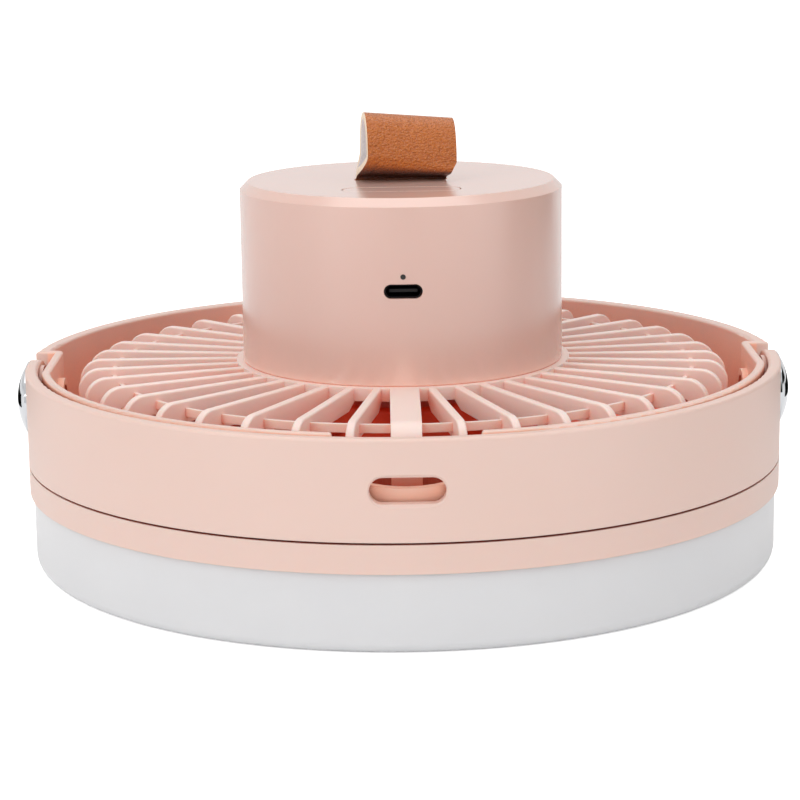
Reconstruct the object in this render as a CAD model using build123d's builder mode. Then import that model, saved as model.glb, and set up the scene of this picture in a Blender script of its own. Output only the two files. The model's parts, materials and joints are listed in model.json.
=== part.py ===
from build123d import *
import os
from math import asin, cos, degrees, radians, sin, sqrt

# A round camping fan and lamp, lying on its lamp side.
# Millimetres. The origin is the middle of the resting face, +Z is up (the rear of the fan),
# -Y is the side with the swing stand and the charging port.

# ---------------------------------------------------------------- clearances
running_gap = 0.05      # round parts that turn on each other
fit_gap = 0.2           # parts that drop into each other
swing_gap = 0.3         # the stand over its whole travel
seam = 0.3              # thin joint line that shows between two shells

# ---------------------------------------------------------------- casing
casing_radius = 95.0
casing_wall = 3.4           # round back wall
front_wall = 2.1            # recessed front wall and pivot flats
pivot_height = 39.5         # hinge axis of the stand
stand_up = 9.8              # stand above the axis
stand_down = 13.5           # stand below the axis
ledge_gap = 0.5             # dark line under the stand
rim_rise = 0.3              # casing rim over the stand's rim
flat_step = 1.4             # pivot flats in from the round of the recessed wall
trough_width = 5.5          # open gutter between the flats and the rear grille's basket
band_wall = 2.2             # lower band over the diffuser's tongue
floor_thickness = 2.2
rim_fillet = 0.7
corner_fillet = 2.0
notch_half_width = 14.0     # ends of the notch's round bottom
notch_arc_rise = 2.5
notch_rim_half_width = 17.0
notch_drop = 2.2            # bottom of the notch below the hinge axis
notch_fillet = 3.0

# ---------------------------------------------------------------- stand
stand_thickness = 3.1
stand_inner_gap = 0.9       # stand to recessed wall, lets the stand swing past the rim
stand_slot_length = 17.0
stand_slot_height = 6.0
stand_slot_height_above_ledge = 11.6
slot_lip = 0.75

# ---------------------------------------------------------------- lamp
diffuser_height = 18.8
diffuser_step = 1.0         # diffuser stands in from the casing
diffuser_wall = 2.0
diffuser_fillet = 3.0
tongue_height = 2.0         # diffuser's rim inside the casing's band
tongue_wall = 2.0
lamp_board_width = 6.9
lamp_board_thickness = 1.6
lead_pad_width = 9.0        # tab of the lamp board that takes the lead
chip_length = 3.5
chip_width = 2.8
chip_height = 0.7
chip_count = 36

# ---------------------------------------------------------------- duct and front grille
duct_gap = 5.0              # duct to the basket around it
duct_wall = 2.0
duct_height = 33.0
outlet_recess = 1.0         # front grille in from the resting face
outlet_plate = 2.2
outlet_bar_width = 1.8
outlet_bar_depth = 5.0
outlet_bar_count = 24
outlet_hub_radius = 20.0
outlet_rim_width = 6.4      # flat rim of the front grille
outlet_ring_count = 3
outlet_ring_width = 1.6
outlet_boss_radius = 3.0
outlet_boss_inset = 2.6     # bosses' middle inside the duct's bore
outlet_boss_height = 9.0
cap_radius = 17.0
cap_thickness = 1.8
cap_pocket = 1.4
cap_stem_radius = 4.0
cap_stem_rise = 0.8         # stem through the front grille

# ---------------------------------------------------------------- rear grille
grille_sink = 0.1           # ribs' top below the casing's rim
deck_step = 1.8             # deck stands out from the hub
deck_thickness = 3.2
rib_count = 40
rib_width = 2.0
wide_rib_width = 7.0
rib_depth = 5.0
rib_bend = 5.5              # radius of a rib's shoulder
basket_foot = 2.5           # ring that the ribs stand on
basket_boss_radius = 2.9
tie_ring_inset = 9.0        # tie ring in from the basket's outside
tie_ring_width = 1.0
tie_ring_height = 2.0
tie_ring_drop = 1.7
rib_fillet = 0.45

# ---------------------------------------------------------------- hub
hub_wall = 2.0
hub_chamfer = 2.0
post_radius = 3.6
post_height = 12.5

# ---------------------------------------------------------------- screws
screw_radius = 1.3
screw_length = 10.0
screw_head_radius = 2.5
screw_head_height = 1.6
screw_socket_radius = 1.2
small_screw_radius = 0.8
small_screw_length = 6.0
small_head_radius = 1.7
small_head_height = 1.2
small_socket_radius = 0.8
basket_screw_count = 6
basket_screw_start = 13.5   # degrees
outlet_screw_count = 4
hub_screw_count = 4
quarter_start = 45.0        # degrees, first of four evenly spaced screws

# ---------------------------------------------------------------- rotor and motor
rotor_gap = 2.0             # blade tips to duct
rotor_hub_radius = 21.0
rotor_hub_wall = 2.0
rotor_drop = 5.0            # rotor's top below the motor's neck
rotor_hub_height = 24.0
rotor_boss_radius = 5.0
blade_count = 7
blade_thickness = 1.8
blade_mid_rise = 12.5       # middle of the blades above the rotor's lower rim
shaft_radius = 1.5
nut_radius = 4.0
nut_height = 4.0
motor_radius = 16.0
motor_wall = 1.0
motor_height = 13.1
motor_neck_radius = 4.2
motor_neck_drop = 1.4       # neck below the deck
motor_end_boss = 1.8
bush_radius = 3.0
bush_length = 4.0
magnet_thickness = 2.6
magnet_height = 9.1
armature_gap = 0.6
armature_height = 8.1
motor_screw_circle = 9.0

# ---------------------------------------------------------------- cells and cradle
cell_radius = 9.25
cell_length = 65.0
cell_gap = 0.3
cell_side_gap = 0.83        # corners of the cells to the hub's wall
cradle_gap = 0.6            # cradle over the motor
cradle_floor = 1.75
cradle_side = 1.95          # cradle beyond the cells' sides
cradle_end = 1.7            # cradle beyond the cells' tabs
leg_radius = 3.0
leg_x = 26.0
leg_y = 13.0
tab_thickness = 0.3
tab_height = 6.0
tab_rise = 4.0              # tabs above the cells' axis, clear of the cradle

# ---------------------------------------------------------------- board, port and key
port_rise = 23.0            # port's middle over the deck
port_length = 9.2
port_opening = 3.45
socket_length = 8.94
socket_thickness = 3.26
socket_wall = 0.3
socket_depth = 7.3
socket_recess = 0.9
tongue_width = 6.6          # socket's inner tongue
tongue_thickness = 0.7
board_thickness = 1.6
board_gap = 0.4             # straight edge of the board to the cradle
board_side_gap = 2.0        # ends of the board to the hub's wall, at the straight edge
board_post_radius = 2.6
board_post_inset = 7.0      # board posts in from the ends of the board
chip_side_x = 13.0          # charger and regulator chips, either side of the middle
capacitor_x = 8.6
capacitor_inset = 5.1       # capacitors in from the hub's wall
component_height = 1.5
led_gap = 1.2               # middle of the charge LED behind the socket
lead_hole_inset = 2.8       # lamp lead in from the hub's wall
indicator_rise = 3.5        # indicator over the port's middle
indicator_radius = 0.6
key_length = 28.6
key_width = 8.2
key_stem_forward = 2.5      # stem forward of the key's middle
key_dot_forward = 3.5
key_gap = 0.2
key_flange = 1.0
key_flange_thickness = 1.1
key_stem_radius = 1.5
key_dot_radius = 0.25
key_dot_spacing = 1.4
switch_size = 6.0
switch_height = 3.4
switch_gap = 0.2            # switch in from the straight edge of the board
plunger_rise = 2.7

# ---------------------------------------------------------------- strap
strap_width = 22.4
strap_thickness = 1.6
strap_offset = 1.5          # middle of the strap's slot, forward of the hub's axis
strap_rise = 16.1           # top of the loop over the hub
strap_bulge = 8.8           # front of the loop, forward of the slot's middle
strap_clearance = 1.0       # strap's turn round its pin, over the cells
pin_radius = 1.5
pin_overhang = 2.3          # pin beyond the strap, each side
pin_drop = 5.1              # pin's axis below the hub's top
saddle_wall = 1.5

# ---------------------------------------------------------------- pivots
pivot_radius = 3.0
pivot_thread_radius = 2.0
pivot_head_radius = 5.0
pivot_head_height = 1.7
pivot_pad_radius = 8.5
pivot_pad_gap = 1.4         # stand's pad to the casing's flat
pivot_seat_depth = 0.6
washer_radius = 7.5
cap_diameter = 18.8
cap_dome = 2.8
cap_rim = 0.8
cap_shell = 1.2
insert_radius = 3.5
insert_length = 3.2
pivot_boss_radius = 5.2
pivot_boss_height = 1.6

# ---------------------------------------------------------------- derived sizes
band_top = pivot_height - stand_down - ledge_gap
stand_top = pivot_height + stand_up
casing_top = stand_top + rim_rise
floor_bottom = diffuser_height + tongue_height
floor_top = floor_bottom + floor_thickness
casing_inner = casing_radius - casing_wall
stand_inner = casing_radius - stand_thickness
wall_outer = stand_inner - stand_inner_gap
wall_inner = wall_outer - front_wall
flat_outer = wall_outer - flat_step
flat_inner = flat_outer - front_wall
end_face_y = stand_up + swing_gap
notch_bottom = pivot_height - notch_drop
pad_face = flat_outer + pivot_pad_gap
seat_face = casing_radius - pivot_seat_depth

grille_top = casing_top - grille_sink
deck_bottom = grille_top - deck_thickness
basket_radius = flat_inner - trough_width
basket_inner = basket_radius - rib_depth
basket_middle = (basket_radius + basket_inner) / 2
rib_shoulder = basket_radius - rib_bend
tie_ring_radius = basket_radius - tie_ring_inset

duct_outer = basket_inner - duct_gap
duct_radius = duct_outer - duct_wall
duct_bottom = outlet_recess + outlet_plate
outlet_boss_circle = duct_radius - outlet_boss_inset
outlet_rim_inner = duct_outer - outlet_rim_width
band_inner = casing_radius - band_wall
tongue_outer = band_inner - fit_gap
lamp_inner = duct_outer + seam
lamp_board_outer = tongue_outer - tongue_wall - seam
lamp_board_inner = lamp_board_outer - lamp_board_width
lamp_board_bottom = floor_bottom - lamp_board_thickness

motor_top = grille_top + motor_height
motor_inner = motor_radius - motor_wall
motor_end_top = motor_top + motor_end_boss
neck_bottom = deck_bottom - motor_neck_drop
rotor_radius = duct_radius - rotor_gap
rotor_bottom = neck_bottom - rotor_drop - rotor_hub_height
blade_mid_height = rotor_bottom + blade_mid_rise
shaft_top = motor_end_top - fit_gap
shaft_bottom = rotor_bottom - 1.0

# the hub is as wide and as tall as the motor, the cells and the strap's pin in it
cell_pitch = 2 * cell_radius + cell_gap
cradle_bottom = motor_end_top + cradle_gap
cell_height = cradle_bottom + cradle_floor + cell_radius
cell_top = cell_height + cell_radius
strap_turn_radius = pin_radius + running_gap + strap_thickness
pin_height = cell_top + strap_clearance + strap_turn_radius
pin_length = strap_width + 2 * pin_overhang
strap_slot = 2 * strap_thickness + 2 * seam
hub_top = pin_height + pin_drop
hub_height = hub_top - grille_top
hub_ceiling = hub_top - hub_wall
hub_inner = sqrt((cell_length / 2) ** 2 + (cell_pitch / 2 + cell_radius) ** 2) + cell_side_gap
hub_radius = hub_inner + hub_wall
deck_radius = hub_radius + deck_step
post_circle = hub_inner - post_radius + 0.1

cradle_half_width = cell_pitch / 2 + cell_radius + cradle_side
port_height = grille_top + port_rise
indicator_height = port_height + indicator_rise
board_edge = cradle_half_width + board_gap
board_half_width = sqrt(hub_inner ** 2 - board_edge ** 2) - board_side_gap
board_post_x = board_half_width - board_post_inset
board_top = port_height - socket_thickness / 2
board_bottom = board_top - board_thickness
board_post_y = -sqrt((hub_inner - board_post_radius + 0.3) ** 2 - board_post_x ** 2)
socket_front = hub_radius - socket_recess
led_y = -(socket_front - socket_depth - led_gap)
key_stem_offset = board_edge + switch_gap + switch_size / 2
key_offset = key_stem_offset - key_stem_forward
key_dot_offset = key_offset + key_dot_forward
key_flange_top = hub_ceiling - fit_gap
key_stem_bottom = board_top + switch_height + plunger_rise
lead_radius = 1.2
lead_hole_y = -(hub_inner - lead_hole_inset)


def side_plane(x, side):
    """Plane across the pivot axis at a distance x, facing outwards on the side +1 or -1."""
    return Plane(origin=(side * x, 0, pivot_height), x_dir=(0, 1, 0), z_dir=(side, 0, 0))


def ring_sketch(outer, inner):
    """A flat ring in the sketch that is open."""
    Circle(outer)
    Circle(inner, mode=Mode.SUBTRACT)


def screw_solid(radius, length, head_radius, head_height, socket_radius):
    """One pan head screw, its head below Z = 0 and its shank up to length."""
    with BuildPart() as screw:
        with BuildSketch(Plane.XY.offset(-head_height)):
            Circle(head_radius)
        extrude(amount=head_height)
        fillet(screw.edges().sort_by(Axis.Z)[0], head_height * 0.4)
        with BuildSketch(Plane.XY):
            Circle(radius)
        extrude(amount=length)
        chamfer(screw.edges().sort_by(Axis.Z)[-1], radius * 0.4)
        with BuildSketch(Plane.XY.offset(-head_height)):
            RegularPolygon(socket_radius, 6)
        extrude(amount=head_height * 0.6, mode=Mode.SUBTRACT)
    return screw.part


# ================================================================ main casing
with BuildPart() as main_casing:
    # floor, duct and lower band, turned about the axis
    with BuildSketch(Plane.XZ):
        with BuildLine():
            Polyline(
                (duct_radius, duct_bottom),
                (duct_outer, duct_bottom),
                (duct_outer, floor_bottom),
                (band_inner, floor_bottom),
                (band_inner, diffuser_height),
                (casing_radius, diffuser_height),
                (casing_radius, band_top),
                (wall_inner, band_top),
                (wall_inner, floor_top),
                (duct_outer, floor_top),
                (duct_outer, duct_bottom + duct_height),
                (duct_radius, duct_bottom + duct_height),
                close=True,
            )
        make_face()
    revolve(axis=Axis.Z)
    # wall in plan: round back, steps in to the pivot flats, recessed round front
    with BuildSketch(Plane.XY.offset(floor_top)) as wall_plan:
        with BuildSketch(mode=Mode.PRIVATE) as back_plan:
            ring_sketch(casing_radius, casing_inner)
            with Locations((0, end_face_y - casing_radius)):
                Rectangle(3 * casing_radius, 2 * casing_radius, mode=Mode.SUBTRACT)
        with BuildSketch(mode=Mode.PRIVATE) as step_plan:
            Circle(casing_radius)
            with Locations((0, end_face_y + front_wall / 2)):
                Rectangle(3 * casing_radius, front_wall, mode=Mode.INTERSECT)
            Rectangle(2 * flat_inner, 6 * end_face_y, mode=Mode.SUBTRACT)
        with BuildSketch(mode=Mode.PRIVATE) as front_plan:
            Circle(wall_outer)
            with Locations((0, end_face_y + front_wall - casing_radius)):
                Rectangle(2 * flat_outer, 2 * casing_radius, mode=Mode.INTERSECT)
            with BuildSketch(mode=Mode.PRIVATE) as front_inside:
                Circle(wall_inner)
                Rectangle(2 * flat_inner, 3 * casing_radius, mode=Mode.INTERSECT)
            add(front_inside.sketch, mode=Mode.SUBTRACT)
        add(back_plan.sketch)
        add(step_plan.sketch)
        add(front_plan.sketch)
        inner_corners = wall_plan.vertices().filter_by(
            lambda corner: abs(abs(corner.X) - flat_inner) < seam and corner.Y > end_face_y)
        fillet(inner_corners, corner_fillet)
    extrude(amount=casing_top - floor_top)
    # round notch in the recessed wall, behind the stand's slot
    with BuildSketch(Plane.XZ) as notch_plan:
        with BuildLine():
            notch_arc = ThreePointArc((-notch_half_width, notch_bottom + notch_arc_rise), (0, notch_bottom),
                                      (notch_half_width, notch_bottom + notch_arc_rise))
            Polyline(notch_arc @ 1, (notch_rim_half_width, casing_top + 1),
                     (-notch_rim_half_width, casing_top + 1), notch_arc @ 0)
        make_face()
        fillet(notch_plan.vertices().group_by(Axis.Y)[0], notch_fillet)
    extrude(amount=casing_radius, mode=Mode.SUBTRACT)
    # bosses for the pivot inserts, inside the flats
    for side in (-1, 1):
        with BuildSketch(side_plane(flat_inner - pivot_boss_height, side)):
            Circle(pivot_boss_radius)
        extrude(amount=pivot_boss_height + 0.5)
        with BuildSketch(side_plane(flat_inner - pivot_boss_height - 1, side)):
            Circle(insert_radius)
        extrude(amount=pivot_boss_height + front_wall + 2, mode=Mode.SUBTRACT)
    # bosses for the front grille, on the duct's inside
    with BuildSketch(Plane.XY.offset(duct_bottom)):
        with PolarLocations(outlet_boss_circle, outlet_screw_count, start_angle=quarter_start):
            Circle(outlet_boss_radius)
    extrude(amount=outlet_boss_height)
    with BuildSketch(Plane.XY.offset(duct_bottom)):
        with PolarLocations(outlet_boss_circle, outlet_screw_count, start_angle=quarter_start):
            Circle(small_screw_radius + running_gap)
    extrude(amount=outlet_boss_height - 1.0, mode=Mode.SUBTRACT)
    # holes in the floor: screws of the rear grille, lead of the lamp board
    with BuildSketch(Plane.XY.offset(floor_bottom)):
        with PolarLocations(basket_middle, basket_screw_count, start_angle=basket_screw_start):
            Circle(screw_radius + fit_gap)
        with Locations((0, -(basket_inner + lead_radius + 0.1))):
            Circle(lead_radius + fit_gap)
    extrude(amount=floor_thickness, mode=Mode.SUBTRACT)
    rim_face = main_casing.faces().filter_by(Plane.XY).sort_by(Axis.Z)[-1]
    rim_edges = rim_face.edges()
    fillet(rim_edges, rim_fillet)

# ================================================================ swing stand
with BuildPart() as swing_stand:
    with BuildSketch(Plane.XY.offset(pivot_height - stand_down)):
        ring_sketch(casing_radius, stand_inner)
    extrude(amount=stand_down + stand_up)
    fillet(swing_stand.edges().filter_by(GeomType.CIRCLE).group_by(Axis.Z)[-1], rim_fillet)
    # pads that face the casing's flats
    for side in (-1, 1):
        with BuildSketch(side_plane(pad_face, side)):
            Circle(pivot_pad_radius)
        extrude(amount=stand_inner - pad_face + 0.5)
    # side outline: straight front, ends rounded about the pivot
    end_drop = sqrt(stand_down ** 2 - stand_up ** 2)
    end_angle = degrees(asin(end_drop / stand_down))
    with BuildSketch(side_plane(0, 1)):
        with BuildLine():
            upper_edge = Line((-casing_radius - 1, stand_up), (0, stand_up))
            upper_end = CenterArc((0, 0), stand_up, 90, -90)
            back_edge = Line((stand_up, 0), (stand_up, -end_drop))
            lower_end = CenterArc((0, 0), stand_down, -end_angle, end_angle - 90)
            Polyline((0, -stand_down), (-casing_radius - 1, -stand_down), (-casing_radius - 1, stand_up))
        make_face()
    extrude(amount=casing_radius + 1, both=True, mode=Mode.INTERSECT)
    # seats for the caps and holes for the pivots
    for side in (-1, 1):
        with BuildSketch(side_plane(seat_face, side)):
            Circle(cap_diameter / 2 + running_gap)
        extrude(amount=4 * pivot_seat_depth, mode=Mode.SUBTRACT)
        with BuildSketch(side_plane(pad_face - 1, side)):
            Circle(pivot_radius + running_gap)
        extrude(amount=stand_thickness + 3, mode=Mode.SUBTRACT)
    # hanging slot with a chamfered lip
    slot_height = pivot_height - stand_down + stand_slot_height_above_ledge
    with BuildSketch(Plane.XZ.offset(stand_inner - 3)):
        with Locations((0, slot_height)):
            SlotOverall(stand_slot_length, stand_slot_height)
    extrude(amount=stand_thickness + 5, mode=Mode.SUBTRACT)
    with BuildSketch(Plane.XZ.offset(casing_radius)):
        with Locations((0, slot_height)):
            SlotOverall(stand_slot_length + 2 * slot_lip, stand_slot_height + 2 * slot_lip)
    extrude(amount=-1.7 * slot_lip, taper=45, mode=Mode.SUBTRACT)

# ================================================================ diffuser and lamp board
with BuildPart() as diffuser_ring:
    diffuser_outer = casing_radius - diffuser_step
    diffuser_inner = diffuser_outer - diffuser_wall
    with BuildSketch(Plane.XZ):
        with BuildLine():
            Polyline(
                (lamp_inner, 0),
                (diffuser_outer, 0),
                (diffuser_outer, diffuser_height),
                (tongue_outer, diffuser_height),
                (tongue_outer, floor_bottom),
                (tongue_outer - tongue_wall, floor_bottom),
                (tongue_outer - tongue_wall, diffuser_height - tongue_wall),
                (diffuser_inner, diffuser_height - 2 * tongue_wall),
                (diffuser_inner, diffuser_wall),
                (lamp_inner + diffuser_wall, diffuser_wall),
                (lamp_inner + diffuser_wall, floor_bottom),
                (lamp_inner, floor_bottom),
                close=True,
            )
        make_face()
    revolve(axis=Axis.Z)
    outer_foot = diffuser_ring.edges().filter_by(GeomType.CIRCLE).filter_by_position(Axis.Z, -0.01, 0.01)
    fillet(outer_foot.sort_by(SortBy.RADIUS)[-1], diffuser_fillet)
    inner_foot = diffuser_ring.edges().filter_by(GeomType.CIRCLE).filter_by_position(Axis.Z, -0.01, 0.01)
    fillet(inner_foot.sort_by(SortBy.RADIUS)[0], diffuser_wall / 2)

with BuildPart() as led_board:
    with BuildSketch(Plane.XY.offset(lamp_board_bottom)):
        ring_sketch(lamp_board_outer, lamp_board_inner)
        tab_inner = basket_inner - 0.5
        with Locations((0, -(tab_inner + lamp_board_inner + 1) / 2)):
            Rectangle(lead_pad_width, lamp_board_inner + 1 - tab_inner)
    extrude(amount=lamp_board_thickness)

with BuildPart() as led_chips:
    chip_circle = (lamp_board_outer + lamp_board_inner) / 2
    with BuildSketch(Plane.XY.offset(lamp_board_bottom - chip_height)):
        with PolarLocations(chip_circle, chip_count):
            Rectangle(chip_width, chip_length)
    extrude(amount=chip_height)

# ================================================================ front grille
with BuildPart() as front_grille:
    with BuildSketch(Plane.XY.offset(outlet_recess)):
        ring_sketch(duct_outer - 0.1, outlet_rim_inner)
    extrude(amount=outlet_plate)
    with BuildSketch(Plane.XY.offset(outlet_recess)):
        Circle(outlet_hub_radius)
    extrude(amount=outlet_plate)
    bar_start = outlet_hub_radius - 1
    bar_length = outlet_rim_inner + 1 - bar_start
    with BuildSketch(Plane.XY.offset(outlet_recess)):
        with PolarLocations(bar_start + bar_length / 2, outlet_bar_count, start_angle=180 / outlet_bar_count):
            Rectangle(bar_length, outlet_bar_width)
    extrude(amount=outlet_bar_depth)
    outlet_ring_pitch = (rotor_radius - outlet_hub_radius) / (outlet_ring_count + 1)
    with BuildSketch(Plane.XY.offset(outlet_recess + 0.6)):
        for ring in range(1, outlet_ring_count + 1):
            ring_radius = outlet_hub_radius + ring * outlet_ring_pitch
            with BuildSketch(mode=Mode.PRIVATE) as outlet_ring:
                ring_sketch(ring_radius + outlet_ring_width / 2, ring_radius - outlet_ring_width / 2)
            add(outlet_ring.sketch)
    extrude(amount=outlet_plate)
    # room for the bosses of the duct, screw holes, pocket and hole for the middle cap
    with BuildSketch(Plane.XY.offset(duct_bottom)):
        with PolarLocations(outlet_boss_circle, outlet_screw_count, start_angle=quarter_start):
            Circle(outlet_boss_radius + fit_gap)
    extrude(amount=outlet_bar_depth, mode=Mode.SUBTRACT)
    with BuildSketch(Plane.XY.offset(outlet_recess)):
        with PolarLocations(outlet_boss_circle, outlet_screw_count, start_angle=quarter_start):
            Circle(small_screw_radius + fit_gap)
    extrude(amount=outlet_plate, mode=Mode.SUBTRACT)
    with BuildSketch(Plane.XY.offset(outlet_recess)):
        with PolarLocations(outlet_boss_circle, outlet_screw_count, start_angle=quarter_start):
            Circle(small_head_radius + fit_gap)
    extrude(amount=small_head_height, mode=Mode.SUBTRACT)
    with BuildSketch(Plane.XY.offset(outlet_recess)):
        Circle(cap_radius + fit_gap)
    extrude(amount=cap_pocket, mode=Mode.SUBTRACT)
    with BuildSketch(Plane.XY.offset(outlet_recess)):
        Circle(cap_stem_radius)
    extrude(amount=outlet_plate, mode=Mode.SUBTRACT)

with BuildPart() as front_cap:
    cap_face = outlet_recess + cap_pocket - cap_thickness
    with BuildSketch(Plane.XY.offset(cap_face)):
        Circle(cap_radius)
    extrude(amount=cap_thickness)
    fillet(front_cap.edges().sort_by(Axis.Z)[0], 0.6)
    with BuildSketch(Plane.XY.offset(cap_face + cap_thickness)):
        Circle(cap_stem_radius - running_gap)
    extrude(amount=outlet_plate - cap_pocket + cap_stem_rise)

# ================================================================ rear grille
with BuildPart() as rear_grille:
    # one rib: a flat strip that bends down over the shoulder, in the plane of the radius
    rib_start = deck_radius - 1.0
    with BuildPart(mode=Mode.PRIVATE) as narrow_rib:
        with BuildSketch(Plane.XZ):
            with BuildLine():
                rib_upper = Line((rib_start, grille_top), (rib_shoulder, grille_top))
                rib_outer_arc = RadiusArc(rib_upper @ 1, (basket_radius, grille_top - rib_bend), rib_bend)
                Polyline(rib_outer_arc @ 1, (basket_radius, floor_top), (basket_inner, floor_top),
                         (basket_inner, grille_top - rib_bend))
                rib_inner_arc = RadiusArc((basket_inner, grille_top - rib_bend),
                                          (rib_shoulder, grille_top - rib_depth), rib_depth - rib_bend)
                Polyline(rib_inner_arc @ 1, (deck_radius + 4, grille_top - rib_depth),
                         (rib_start, deck_bottom), rib_upper @ 0)
            make_face()
        extrude(amount=rib_width / 2, both=True)
        rib_crown = narrow_rib.edges().filter_by_position(Axis.Z, grille_top - 0.01, grille_top + 0.01)
        rib_crown = rib_crown.filter_by(Axis.X)
        rib_bends = narrow_rib.edges().filter_by(GeomType.CIRCLE).group_by(SortBy.RADIUS)[-1]
        fillet(rib_crown + rib_bends, rib_fillet)
    # deck under the hub
    with BuildSketch(Plane.XY.offset(deck_bottom)):
        Circle(deck_radius)
    extrude(amount=deck_thickness)
    with PolarLocations(0, rib_count, start_angle=-90):
        add(narrow_rib.part)
    # foot ring and tie ring
    with BuildSketch(Plane.XY.offset(floor_top)):
        ring_sketch(basket_radius, basket_inner)
    extrude(amount=basket_foot)
    with BuildSketch(Plane.XY.offset(grille_top - tie_ring_drop - tie_ring_height)):
        ring_sketch(tie_ring_radius + tie_ring_width / 2, tie_ring_radius - tie_ring_width / 2)
    extrude(amount=tie_ring_height)
    # the wide rib over the lead, at the front
    with BuildSketch(Plane.YZ):
        with BuildLine():
            wide_upper = Line((-rib_start, grille_top), (-rib_shoulder, grille_top))
            wide_outer_arc = RadiusArc(wide_upper @ 1, (-basket_radius, grille_top - rib_bend), -rib_bend)
            Polyline(wide_outer_arc @ 1, (-basket_radius, floor_top), (-basket_inner, floor_top),
                     (-basket_inner, grille_top - rib_bend))
            wide_inner_arc = RadiusArc((-basket_inner, grille_top - rib_bend),
                                       (-rib_shoulder, grille_top - rib_depth), rib_bend - rib_depth)
            Polyline(wide_inner_arc @ 1, (-rib_start, grille_top - rib_depth), wide_upper @ 0)
        make_face()
    extrude(amount=wide_rib_width / 2, both=True)
    # channel for the lead, along the inside of the wide rib
    channel_wall = rib_depth - 2 * lead_radius - 0.2
    channel_bend = rib_bend - channel_wall
    with BuildSketch(Plane.YZ):
        with BuildLine():
            channel_top = grille_top - channel_wall
            channel_outer = basket_radius - channel_wall
            channel_upper = Line((lead_hole_y, channel_top), (-rib_shoulder, channel_top))
            channel_arc = RadiusArc(channel_upper @ 1, (-channel_outer, grille_top - rib_bend), -channel_bend)
            Polyline(channel_arc @ 1, (-channel_outer, floor_top), (-basket_inner + 1, floor_top),
                     (-basket_inner + 1, grille_top - rib_depth - 1),
                     (lead_hole_y, grille_top - rib_depth - 1), channel_upper @ 0)
        make_face()
    extrude(amount=lead_radius + 0.3, both=True, mode=Mode.SUBTRACT)
    # bosses over the floor's screws
    with BuildSketch(Plane.XY.offset(floor_top)):
        with PolarLocations(basket_middle, basket_screw_count, start_angle=basket_screw_start):
            Circle(basket_boss_radius)
    extrude(amount=screw_length)
    with BuildSketch(Plane.XY.offset(floor_top)):
        with PolarLocations(basket_middle, basket_screw_count, start_angle=basket_screw_start):
            Circle(screw_radius + running_gap)
    extrude(amount=screw_length - 1.0, mode=Mode.SUBTRACT)
    # holes in the deck: motor neck, motor screws, hub and cradle screws, lead
    with BuildSketch(Plane.XY.offset(deck_bottom)):
        Circle(motor_neck_radius + fit_gap)
        with Locations((motor_screw_circle, 0), (-motor_screw_circle, 0)):
            Circle(small_screw_radius + fit_gap)
        with PolarLocations(post_circle, hub_screw_count, start_angle=quarter_start):
            Circle(screw_radius + fit_gap)
        with GridLocations(2 * leg_x, 2 * leg_y, 2, 2):
            Circle(screw_radius + fit_gap)
        with Locations((0, lead_hole_y)):
            Circle(lead_radius + 1.1)
    extrude(amount=deck_thickness, mode=Mode.SUBTRACT)

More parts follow.
